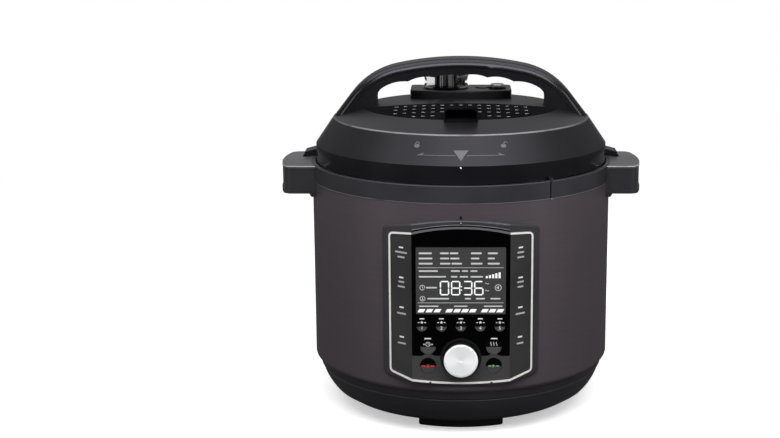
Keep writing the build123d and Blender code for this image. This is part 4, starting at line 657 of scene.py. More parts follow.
class Finishes:
    """Every finish of the cooker, by the piece that wears it."""

    shell = Hairline("shell_dark_brushed", tone(82, 75, 81), 0.42, 0.5, contrast=0.07)
    # The skirt, collar, lid and cap carry painted highlight lines along their edges.
    skirt = EdgeHighlight(
        "skirt_satin_black", tone(29, 29, 33), 0.34, specular=0.6, edges=((45.7, 0.4), (37.2, 0.4)),
        laid_on=tone(84, 84, 88))
    collar = EdgeHighlight(
        "collar_satin_grey", tone(41, 40, 44), 0.4, specular=0.3, edges=((213.7, 0.6),), laid_on=tone(150, 149, 153))
    lid = EdgeHighlight(
        "lid_satin_black", tone(12, 12, 15), 0.37, specular=0.29, grain=0.5, depth=0.006,
        edges=((269.1, 0.7),), laid_on=tone(122, 121, 126), polished_below=245.4, polish=0.2,
        front_highlight=0.85)
    arch = Moulded("arch_satin_black", tone(12, 12, 14), 0.2, specular=0.35, grain=0.5, depth=0.006)
    grip = Moulded("grip_soft_black", tone(12, 12, 13), 0.5, specular=0.15, grain=0.7)
    handle = Moulded("handle_satin_black", tone(37, 36, 39), 0.38, specular=0.35)
    cap = EdgeHighlight(
        "handle_cap_grey", tone(62, 61, 63), 0.36, specular=0.4, edges=((228.1, 0.6),), laid_on=tone(150, 149, 152))
    cover = Moulded("vent_cover_black", tone(14, 14, 16), 0.75, specular=0.0, grain=0.4)
    # Painted highlight: the pale colour of the thin lips in front of the black cover's slots.
    lip_highlight = Moulded("vent_slot_lip_highlight", tone(128, 128, 130), 0.4, specular=0.4, grain=0.3)
    block = Moulded("valve_block_black", tone(16, 16, 17), 0.36, specular=0.35)
    button = Moulded("release_button_black", tone(24, 24, 25), 0.4, specular=0.4)
    rubber = Moulded("rubber_black", tone(24, 24, 24), 0.75, specular=0.3, grain=0.9, depth=0.03)
    silicone = Moulded("silicone_pale", tone(214, 212, 204), 0.5, specular=0.5, coat=0.15)
    inner_plastic = Moulded("inner_plastic_black", tone(38, 38, 39), 0.55, specular=0.4)
    frame_grey = Moulded("panel_frame_satin", tone(44, 43, 46), 0.34, specular=0.4, grain=0.4, depth=0.004)
    # The film's paler centre is painted light.
    film = FilmWithPaintedLight("panel_film", tone(47, 46, 46), 0.5, specular=0.2, grain=0.3, depth=0.003, centre=tone(60, 59, 59))
    window = Polished("window_gloss_black", tone(2, 2, 3), 0.07, specular=0.06)
    display = Polished("display_grey", tone(60, 60, 60), 0.18, specular=0.1)
    module = Finish("display_module_dark", tone(30, 34, 36), 0.3)
    ring = Polished("dial_ring_black", tone(22, 22, 23), 0.22, specular=0.3)
    trim = ArchDarkenedTrim("panel_trim_satin", tone(236, 234, 230), 0.36, 0.25, dark=tone(112, 112, 113))
    # The dial carries a painted sheen in fan shapes and a painted highlight round its edge, and is near black behind
    # its face.
    dial = DialFace(
        "dial_spun", tone(252, 253, 255), 0.34, 0.18, centre=(0.0, 0.0, 79.2 * MM), facing=Facing.FRONT, painted_sheen=0.16,
        face_y=-150.2)
    # The spun pan and pot carry a faint painted sheen in fan shapes.
    pan = Spun("stainless_spun", tone(205, 205, 207), 0.3, 1.0)
    stainless = Hairline("stainless_brushed", tone(205, 204, 205), 0.3, 1.0)
    liner = Hairline("liner_sheet", tone(186, 186, 188), 0.42, 1.0)
    pot = Spun("pot_spun", tone(212, 211, 211), 0.26, 1.0, painted_sheen=0.03)
    cast = Cast("cast_aluminium", tone(178, 178, 180), 0.5, 1.0)
    turned = Polished("turned_aluminium", tone(205, 206, 208), 0.3, 1.0)
    plated = Polished("plated_steel", tone(186, 186, 188), 0.32, 1.0)
    brass = Polished("contact_brass", tone(206, 178, 118), 0.3, 1.0)
    chrome = Polished("valve_chrome", tone(250, 246, 236), 0.18, 1.0)
    black_steel = Polished("screw_black_oxide", tone(30, 30, 32), 0.4, 0.6)
    core = Polished("valve_core_black", tone(8, 8, 9), 0.16, specular=0.5)
    # Painted reflection: pale bands on the valve's polished black core.
    core_reflection_stripe = Polished("valve_core_reflection_stripe", tone(150, 150, 152), 0.2, 0.3)
    float_metal = Polished("float_grey", tone(128, 128, 131), 0.36, 0.5)
    board = SolderMask("board_green", tone(20, 74, 44), 0.4)
    cup = Polished("cup_smoke", tone(176, 178, 182), 0.06, specular=0.5, clear=0.6)
    ink_white = Ink("ink_white", tone(226, 226, 226), 0.5)
    ink_grey = Ink("ink_grey", tone(168, 168, 168), 0.5)
    ink_red = Ink("ink_red", tone(196, 58, 52), 0.5)
    ink_green = Ink("ink_green", tone(118, 170, 122), 0.5)
    lit = Ink("segment_lit", tone(244, 244, 244), 0.5, glow=0.12)
    lit_soft = Ink("segment_soft", tone(190, 190, 190), 0.5, glow=0.05)
    # Painted sheen: a grey that lifts the lid's raised marks off the black lid, though they are of the same plastic.
    relief_sheen = Ink("relief_sheen_grey", tone(72, 72, 74), 0.4)
    # Painted highlight: the pale colour of the frame's bright line and of the gleam by the opening mark.
    pale_highlight = Ink("pale_highlight", tone(128, 128, 130), 0.4)
    # Black of painted shade in the frame's dark line, each notch of the strip, the screw heads' crosses and beside the
    # opening mark, and of the alignment mark.
    shade_and_marks = Finish("black_shade_and_marks", tone(6, 6, 6), 0.7, specular=0.1)


# ---------------------------------------------------------------- meshes
def finished(mesh: bpy.types.Mesh, name: str, body: str, finish: Finish | None = None) -> bpy.types.Object:
    """Makes an object of a mesh, links it, and lets it ride on a body.

    Args:
        mesh: Its mesh, in metres at its place.
        name: The piece's name.
        body: The body that it moves with.
        finish: Its finish, unless the mesh has one.

    Returns:
        The piece.
    """
    piece = bpy.data.objects.new(name, mesh)
    bpy.context.scene.collection.objects.link(piece)
    if finish:
        mesh.materials.clear()
        mesh.materials.append(finish.build())
    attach(piece, body)
    LOG.info("%s on %s: %d faces", name, body, len(mesh.polygons))
    return piece


class Print:
    """Flat shapes in millimetres that are laid on a surface as a thin film of ink."""

    def __init__(self) -> None:
        """Starts with no shapes."""
        self.loops: list[list[Point]] = []

    def polygon(self, points: Iterable[Point]) -> None:
        """Adds a convex outline, in either direction.

        Args:
            points: The corners of the outline.
        """
        loop = list(points)
        area = sum(a[0] * b[1] - b[0] * a[1] for a, b in zip(loop, loop[1:] + loop[:1]))
        self.loops.append(loop if area > 0 else loop[::-1])

    def bar(self, x0: float, x1: float, z0: float, z1: float, slant: float = 0.0, cap: bool = True) -> None:
        """Adds an upright or slanted bar, with cut corners if it is capped.

        Args:
            x0: Left end.
            x1: Right end.
            z0: Lower side.
            z1: Upper side.
            slant: Shift to the right for each millimetre up.
            cap: Whether the corners are cut.
        """
        cut = min(x1 - x0, z1 - z0) * 0.28 if cap else 0.0
        outline = [
            (x0 + cut, z0), (x1 - cut, z0), (x1, z0 + cut), (x1, z1 - cut),
            (x1 - cut, z1), (x0 + cut, z1), (x0, z1 - cut), (x0, z0 + cut)]
        if not cap:
            outline = [(x0, z0), (x1, z0), (x1, z1), (x0, z1)]
        self.polygon((x + slant * (z - z0), z) for x, z in outline)

    def word(self, x0: float, x1: float, z: float, height: float, parts: int = 1, gap: float = 0.9) -> None:
        """Adds the plain bar or bars that stand in a label's place.

        Args:
            x0: Left end.
            x1: Right end.
            z: Height of the middle line.
            height: The bars' height.
            parts: How many bars share the length.
            gap: Space between two bars.
        """
        step = (x1 - x0 + gap) / parts
        for i in range(parts):
            self.bar(x0 + i * step, x0 + (i + 1) * step - gap, z - height / 2, z + height / 2)

    def disc(self, x: float, z: float, radius: float, sides: int = 20) -> None:
        """Adds a round dot.

        Args:
            x: Centre across.
            z: Centre up.
            radius: The dot's radius.
            sides: Sides of the polygon.
        """
        turn = 2 * math.pi / sides
        self.polygon((x + radius * math.cos(i * turn), z + radius * math.sin(i * turn)) for i in range(sides))

    def stroke(self, points: Sequence[Point], width: float) -> None:
        """Adds a line of some width as one quad for each run, lengthened to close its corners.

        Args:
            points: The corners of the line.
            width: The line's width.
        """
        for (x0, z0), (x1, z1) in zip(points, points[1:]):
            length = math.hypot(x1 - x0, z1 - z0)
            ux, uz = (x1 - x0) / length, (z1 - z0) / length
            px, pz = -uz * width / 2, ux * width / 2
            ex, ez = ux * width * 0.12, uz * width * 0.12
            self.polygon([
                (x0 - ex + px, z0 - ez + pz), (x0 - ex - px, z0 - ez - pz),
                (x1 + ex - px, z1 + ez - pz), (x1 + ex + px, z1 + ez + pz)])

    def arc(self, x: float, z: float, radius: float, width: float, start: float = 0.0, stop: float = 360.0,
            sides: int = 24) -> None:
        """Adds a ring or part of one, in degrees from the right.

        Args:
            x: Centre across.
            z: Centre up.
            radius: Radius of the middle line.
            width: Width of the line.
            start: Where it starts.
            stop: Where it stops.
            sides: Sides of a whole ring.
        """
        steps = max(3, round(sides * abs(stop - start) / 360))
        for i in range(steps):
            a = math.radians(start + (stop - start) * i / steps)
            b = math.radians(start + (stop - start) * (i + 1) / steps)
            inner, outer = radius - width / 2, radius + width / 2
            self.polygon([
                (x + inner * math.cos(a), z + inner * math.sin(a)), (x + outer * math.cos(a), z + outer * math.sin(a)),
                (x + outer * math.cos(b), z + outer * math.sin(b)), (x + inner * math.cos(b), z + inner * math.sin(b))])

    def star(self, x: float, z: float, radius: float) -> None:
        """Adds a five-pointed star.

        Args:
            x: Centre across.
            z: Centre up.
            radius: Radius of the tips.
        """
        tips = [(x + radius * math.sin(i * 2 * math.pi / 5), z + radius * math.cos(i * 2 * math.pi / 5))
                for i in range(5)]
        inner = radius * 0.42
        dents = [(x + inner * math.sin((i + 0.5) * 2 * math.pi / 5), z + inner * math.cos((i + 0.5) * 2 * math.pi / 5))
                 for i in range(5)]
        self.polygon(dents)
        for i, tip in enumerate(tips):
            self.polygon([tip, dents[i], dents[i - 1]])

    def padlock(self, x: float, z: float, size: float, open_shackle: bool) -> None:
        """Adds a padlock, shut or open.

        Args:
            x: Centre across.
            z: Centre up.
            size: Overall size.
            open_shackle: Whether the shackle is swung open.
        """
        self.bar(x - size * 0.42, x + size * 0.42, z - size * 0.5, z + size * 0.12)
        shift = size * 0.42 if open_shackle else 0.0
        self.arc(x + shift, z + size * 0.22, size * 0.26, size * 0.14, 0, 180, 20)
        self.bar(x - size * 0.33 + shift, x - size * 0.19 + shift, z + size * 0.1, z + size * 0.26, cap=False)
        if not open_shackle:
            self.bar(x + size * 0.19, x + size * 0.33, z + size * 0.1, z + size * 0.26, cap=False)

    def digit(self, value: int, x: float, z: float, width: float, height: float, thick: float) -> None:
        """Adds a seven-segment digit, with its low left corner at x, z.

        Args:
            value: The digit, from 0 to 9.
            x: Left end.
            z: Lower end.
            width: Width between the middle lines.
            height: Height between the middle lines.
            thick: A segment's thickness.
        """
        lit = ("abcdef", "bc", "abged", "abgcd", "fgbc", "afgcd", "afgecd", "abc", "abcdefg", "abcdfg")[value]
        half, gap = height / 2, thick * 0.16
        runs = {
            "a": ((0, height), (width, height)), "g": ((0, half), (width, half)), "d": ((0, 0), (width, 0)),
            "f": ((0, half), (0, height)), "e": ((0, 0), (0, half)),
            "b": ((width, half), (width, height)), "c": ((width, 0), (width, half)),
        }
        for segment in lit:
            (x0, z0), (x1, z1) = runs[segment]
            ex, ez = (thick / 2, 0) if z0 == z1 else (0, thick / 2)
            nx, nz = (0, thick / 2) if z0 == z1 else (thick / 2, 0)
            gx, gz = (gap, 0) if z0 == z1 else (0, gap)
            a, b = (x + x0 + gx, z + z0 + gz), (x + x1 - gx, z + z1 - gz)
            self.polygon([
                a, (a[0] + ex + nx, a[1] + ez + nz), (b[0] - ex + nx, b[1] - ez + nz), b,
                (b[0] - ex - nx, b[1] - ez - nz), (a[0] + ex - nx, a[1] + ez - nz)])

    def lay(self, name: str, body: str, surface: Surface, finish: Finish, thick: float = INK_T,
            sunk: float = INK_SUNK) -> bpy.types.Object:
        """Lays the shapes on a surface as closed plates.

        Args:
            name: The piece's name.
            body: The body that it moves with.
            surface: Gives the point at x, z and a height over the surface.
            finish: The ink.
            thick: The film's thickness over the surface.
            sunk: How far its back lies under the surface.

        Returns:
            The piece.
        """
        shape = bmesh.new()
        for loop in self.loops:
            top = [shape.verts.new(surface(x, z, thick)) for x, z in loop]
            low = [shape.verts.new(surface(x, z, -sunk)) for x, z in loop]
            shape.faces.new(top)
            shape.faces.new(low[::-1])
            for i in range(len(loop)):
                j = (i + 1) % len(loop)
                shape.faces.new((top[i], low[i], low[j], top[j]))
        bmesh.ops.recalc_face_normals(shape, faces=shape.faces)
        mesh = bpy.data.meshes.new(name)
        shape.to_mesh(mesh)
        shape.free()
        return finished(mesh, name, body, finish)


def numeral(text: str, height: float) -> bpy.types.Mesh:
    """Outline of a plain number as a thin solid mesh, centred, in millimetres.

    Args:
        text: The digits.
        height: Height of a digit.

    Returns:
        The mesh.
    """
    digit_share = 0.73
    curve = bpy.data.curves.new("numeral", "FONT")
    curve.body, curve.size, curve.extrude = text, height / digit_share, 0.5
    curve.align_x, curve.align_y = "CENTER", "CENTER"
    curve.resolution_u = 3
    holder = bpy.data.objects.new("numeral", curve)
    bpy.context.scene.collection.objects.link(holder)
    mesh = bpy.data.meshes.new_from_object(holder.evaluated_get(bpy.context.evaluated_depsgraph_get()))
    bpy.data.objects.remove(holder)
    bpy.data.curves.remove(curve)
    return mesh


# ---------------------------------------------------------------- repeats
class Repeat:
    """A Geometry Nodes tree with named inputs, whose result becomes a plain mesh."""

    def __init__(self, name: str, inputs: dict[str, object]) -> None:
        """Makes the tree and its inputs.

        Args:
            name: The tree's name.
            inputs: Input name against its value, an int, a float, a vector or a material.
        """
        self.name = name
        self.inputs = inputs
        self.tree = bpy.data.node_groups.new(name, "GeometryNodeTree")
        self.graph = Graph(self.tree)
        self.ids: dict[str, str] = {}
        for label, value in inputs.items():
            kind = {int: "Int", float: "Float", tuple: "Vector"}.get(type(value), "Material")
            item = self.tree.interface.new_socket(label, in_out="INPUT", socket_type=f"NodeSocket{kind}")
            self.ids[label] = item.identifier
        self.tree.interface.new_socket("Geometry", in_out="OUTPUT", socket_type="NodeSocketGeometry")
        self.entry = self.graph.node("NodeGroupInput")

    def get(self, label: str) -> Signal:
        """One of the tree's inputs."""
        return Signal(self.graph, self.entry.outputs[label])

    def close(self, instances: Signal) -> None:
        """Ends the tree in Realize Instances and Set Material.

        Args:
            instances: The geometry that the tree has made so far.
        """
        real = self.graph.out("GeometryNodeRealizeInstances", {0: instances})
        dressed = self.graph.out("GeometryNodeSetMaterial", {"Geometry": real, "Material": self.get("Material")})
        self.graph.node("NodeGroupOutput", {0: dressed})

    def piece(self, name: str, body: str, **changes: object) -> bpy.types.Object:
        """Makes the tree's result a piece that rides on a body.

        Args:
            name: The piece's name.
            body: The body that it moves with.
            changes: Inputs that differ from the tree's own values, with _ for a space.

        Returns:
            The piece.
        """
        mesh = bpy.data.meshes.new(name)
        holder = bpy.data.objects.new(name + "_holder", mesh)
        bpy.context.scene.collection.objects.link(holder)
        modifier = holder.modifiers.new(self.name, "NODES")
        modifier.node_group = self.tree
        values = dict(self.inputs)
        values.update({key.replace("_", " "): value for key, value in changes.items()})
        for label, value in values.items():
            modifier[self.ids[label]] = value
        graph = bpy.context.evaluated_depsgraph_get()
        result = bpy.data.meshes.new_from_object(holder.evaluated_get(graph))
        holder.modifiers.clear()
        bpy.data.objects.remove(holder)
        result.name = name
        return finished(result, name, body)


def bar_row() -> Repeat:
    """Tree of a straight row of plates, which may grow, lean and turn.

    Returns:
        The tree.
    """
    repeat = Repeat("bar_row", {
        "Count": 4, "Start": (0.0, 0.0, 0.0), "Step": (0.001, 0.0, 0.0), "Size": (0.001, 0.0001, 0.001),
        "Growth": 0.0, "Slant": 0.0, "Turn": 0.0, "Material": Finishes.ink_white.build()})
    graph = repeat.graph
    line = graph.out("GeometryNodeMeshLine", {
        "Count": repeat.get("Count"), "Start Location": repeat.get("Start"), "Offset": repeat.get("Step")})
    plate = graph.out("GeometryNodeMeshCube", {"Size": (1, 1, 1)})
    raised = graph.out("GeometryNodeTransform", {"Geometry": plate, "Translation": (0, 0, 0.5)})
    index = graph.out("GeometryNodeInputIndex")
    size_x, size_y, size_z = graph.axes(repeat.get("Size"))
    tall = size_z + index * repeat.get("Growth")
    scale = graph.out("ShaderNodeCombineXYZ", {0: size_x, 1: size_y, 2: tall})
    turn = graph.out("ShaderNodeCombineXYZ", {2: repeat.get("Turn")})
    rotation = graph.out("FunctionNodeEulerToRotation", {0: turn})
    bars = graph.out("GeometryNodeInstanceOnPoints", {
        "Points": line, "Instance": raised, "Rotation": rotation, "Scale": scale})
    real = graph.out("GeometryNodeRealizeInstances", {0: bars})
    _, _, z = graph.axes(graph.out("GeometryNodeInputPosition"))
    _, _, z0 = graph.axes(repeat.get("Start"))
    lean = graph.out("ShaderNodeCombineXYZ", {0: (z - z0) * repeat.get("Slant")})
    repeat.close(graph.out("GeometryNodeSetPosition", {"Geometry": real, "Offset": lean}))
    return repeat


def ring_of_shaded_crosses() -> Repeat:
    """Tree of black crosses of painted shade in the cross recesses of screw heads that stand in a circle.

    Returns:
        The tree.
    """
    repeat = Repeat("ring_of_shaded_crosses", {
        "Count": 4, "Radius": 0.1, "Height": 0.0, "Length": 0.0032, "Width": 0.0008, "Depth": 0.0002,
        "First": 0.0, "Material": Finishes.shade_and_marks.build()})
    graph = repeat.graph
    circle = graph.out("GeometryNodeMeshCircle", {"Vertices": repeat.get("Count"), "Radius": repeat.get("Radius")})
    lift = graph.out("ShaderNodeCombineXYZ", {2: repeat.get("Height")})
    first = graph.out("ShaderNodeCombineXYZ", {2: repeat.get("First")})
    placed = graph.out("GeometryNodeTransform", {"Geometry": circle, "Translation": lift, "Rotation": first})
    long = graph.out("ShaderNodeCombineXYZ", {
        0: repeat.get("Length"), 1: repeat.get("Width"), 2: repeat.get("Depth")})
    wide = graph.out("ShaderNodeCombineXYZ", {
        0: repeat.get("Width"), 1: repeat.get("Length"), 2: repeat.get("Depth")})
    # Black boxes of painted shade where each head's cross is sunk.
    arms = [graph.out("GeometryNodeMeshCube", {"Size": size}) for size in (long, wide)]
    cross = graph.node("GeometryNodeJoinGeometry")
    for arm in arms:
        graph.tree.links.new(arm.socket, cross.inputs[0])
    repeat.close(graph.out("GeometryNodeInstanceOnPoints", {"Points": placed, "Instance": cross.outputs[0]}))
    return repeat


def coil() -> Repeat:
    """Tree of a helical compression spring that stands on its lower end.

    Returns:
        The tree.
    """
    repeat = Repeat("coil", {
        "Turns": 4.0, "Radius": 5.0 * MM, "Wire R": 0.6 * MM, "Base Z": 0.0, "Height": 10.0 * MM,
        "Material": Finishes.plated.build()})
    graph, get = repeat.graph, repeat.get
    helix = graph.out("GeometryNodeCurveSpiral", {
        "Resolution": 40, "Rotations": get("Turns"), "Start Radius": get("Radius"), "End Radius": get("Radius"),
        "Height": get("Height")})
    wire = graph.out("GeometryNodeCurvePrimitiveCircle", {"Resolution": 14, "Radius": get("Wire R")})
    swept = graph.out("GeometryNodeCurveToMesh", {"Curve": helix, "Profile Curve": wire, "Fill Caps": True})
    lift = graph.out("ShaderNodeCombineXYZ", {2: get("Base Z")})
    repeat.close(graph.out("GeometryNodeTransform", {"Geometry": swept, "Translation": lift}))
    return repeat


def slot_lips() -> Repeat:
    """Tree of thin raised lips in front of the slots of a perforated, crowned cover.

    Returns:
        The tree.
    """
    repeat = Repeat("slot_lips", {
        "Columns": 15, "Rows": 5, "Pitch X": 8.3 * MM, "Pitch Y": 15.4 * MM, "Centre Y": -55.6 * MM,
        "Slot Width": 3.2 * MM, "Slot Length": 6.4 * MM, "Lip": 0.4 * MM, "Crown R": 0.88, "Apex Z": 0.2828,
        "Limit R": 87.0 * MM, "Tab Half W": 14.8 * MM, "Tab Back Y": -62.0 * MM,
        "Material": Finishes.lip_highlight.build()})
    graph = repeat.graph
    get = repeat.get
    grid = graph.out("GeometryNodeMeshGrid", {
        "Size X": (get("Columns") - 1) * get("Pitch X"), "Size Y": (get("Rows") - 1) * get("Pitch Y"),
        "Vertices X": get("Columns"), "Vertices Y": get("Rows")})
    x, y, _ = graph.axes(graph.out("GeometryNodeInputPosition"))
    away = y + get("Centre Y")
    square = x * x + away * away
    height = get("Apex Z") - get("Crown R") + (get("Crown R") * get("Crown R") - square).root()
    offset = graph.out("ShaderNodeCombineXYZ", {1: get("Centre Y"), 2: height})
    crowned = graph.out("GeometryNodeSetPosition", {"Geometry": grid, "Offset": offset})
    x, y, _ = graph.axes(graph.out("GeometryNodeInputPosition"))
    wide, deep = abs(x) + get("Slot Width"), abs(y) + get("Slot Length") * 0.5
    outside = (wide * wide + deep * deep).root() > get("Limit R")
    at_tab = (abs(x) < get("Tab Half W") + get("Slot Width")) & (y < get("Tab Back Y") + get("Slot Length"))
    kept = graph.out("GeometryNodeDeleteGeometry", {"Geometry": crowned, "Selection": outside | at_tab})
    size = graph.out("ShaderNodeCombineXYZ", {0: get("Slot Width"), 1: get("Lip") * 2, 2: get("Lip")})
    bar = graph.out("GeometryNodeMeshCube", {"Size": size})
    ahead = graph.out("ShaderNodeCombineXYZ", {1: get("Slot Length") * -0.5 - get("Lip")})
    # Each of the thin lips wears a pale painted highlight.
    lip_highlight = graph.out("GeometryNodeTransform", {"Geometry": bar, "Translation": ahead})
    repeat.close(graph.out("GeometryNodeInstanceOnPoints", {"Points": kept, "Instance": lip_highlight}))
    return repeat


# ---------------------------------------------------------------- sub-assemblies
@dataclass
class Dressing:
    """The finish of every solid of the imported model."""

    wear: dict[str, Finish] = field(default_factory=lambda: {
        "outer_shell": Finishes.shell, "base_skirt": Finishes.skirt, "feet": Finishes.rubber,
        "collar_ring": Finishes.collar, "side_handle_left": Finishes.handle, "side_handle_right": Finishes.handle,
        "handle_cap_left": Finishes.cap, "handle_cap_right": Finishes.cap, "inner_housing": Finishes.liner,
        "locking_flange": Finishes.stainless, "inner_pot": Finishes.pot, "heating_plate": Finishes.cast,
        "heater_terminals": Finishes.brass, "sensor_plunger": Finishes.turned, "sensor_spring": Finishes.plated,
        "base_screws": Finishes.black_steel, "power_board": Finishes.board, "power_board_parts": Finishes.inner_plastic,
        "inlet_socket": Finishes.inner_plastic, "inlet_pins": Finishes.brass, "panel_bezel": Finishes.frame_grey,
        "panel_trim": Finishes.trim, "panel_overlay": Finishes.film, "panel_window": Finishes.window,
        "display_lens": Finishes.display, "display_module": Finishes.module, "control_board": Finishes.board,
        "key_switches": Finishes.inner_plastic, "dial_ring": Finishes.ring, "encoder_body": Finishes.plated,
        "encoder_rotor": Finishes.plated, "dial_shaft": Finishes.plated, "dial_knob": Finishes.dial,
        "collector_bracket": Finishes.inner_plastic, "collector_cup": Finishes.cup, "lid_cover": Finishes.lid,
        "lid_handle": Finishes.arch, "handle_grip": Finishes.grip, "steam_cover": Finishes.cover,
        "valve_block": Finishes.block, "release_button": Finishes.button, "steam_pipe": Finishes.turned,
        "steam_valve": Finishes.chrome, "steam_valve_core": Finishes.core, "float_valve": Finishes.float_metal,
        "float_seal": Finishes.silicone, "lid_pan": Finishes.pan, "sealing_ring": Finishes.silicone,
        "ring_rack": Finishes.plated, "anti_block_shield": Finishes.stainless, "lid_screws": Finishes.plated,
    })
    # Keys whose caps carry painted shade above the crease: their crease heights and the lit grey below it.
    creased: tuple[tuple[tuple[str, ...], float, Colour], ...] = (
        (tuple(f"favourite_key_{i}" for i in range(1, 6)), 106.8, tone(66, 66, 66)),
        (("delay_key", "keep_warm_key"), 88.7, tone(66, 66, 66)),
        (("cancel_key", "start_key"), 71.6, tone(58, 57, 57)))

    def build(self) -> None:
        """Gives each solid its finish."""
        laid_on = dict(self.wear)
        for names, crease, lower in self.creased:
            # The near black is painted shade over each cap's upper half.
            finish = CreasedKeyPaintedShade(
                f"key_painted_shade_{round(crease)}", tone(4, 4, 5), 0.3, specular=0.1, crease_z=crease, lower=lower)
            laid_on.update({name: finish for name in names})
        for name, node in frame["nodes"].items():
            finish = laid_on[name]
            material = finish.build()
            if not node.material_slots:
                node.data.materials.append(None)
            for place in node.material_slots:
                place.material = material
            LOG.info("%s wears %s", name, finish.name)


def on_band(radius: float, centre: Point = (0.0, 0.0)) -> Surface:
    """Surface of an upright band about a centre: x along it from its front, z as it is.

    Args:
        radius: The band's radius.
        centre: Where the band's axis stands.

    Returns:
        The surface.
    """
    def point(x: float, z: float, height: float) -> Vector:
        """Point at a height over the band.

        Args:
            x: Distance along the band from its front.
            z: Height.
            height: Height over the surface.

        Returns:
            The point, in metres.
        """
        heading = x / radius
        out = radius + height
        return Vector((centre[0] + out * math.sin(heading), centre[1] - out * math.cos(heading), z)) * MM
    return point


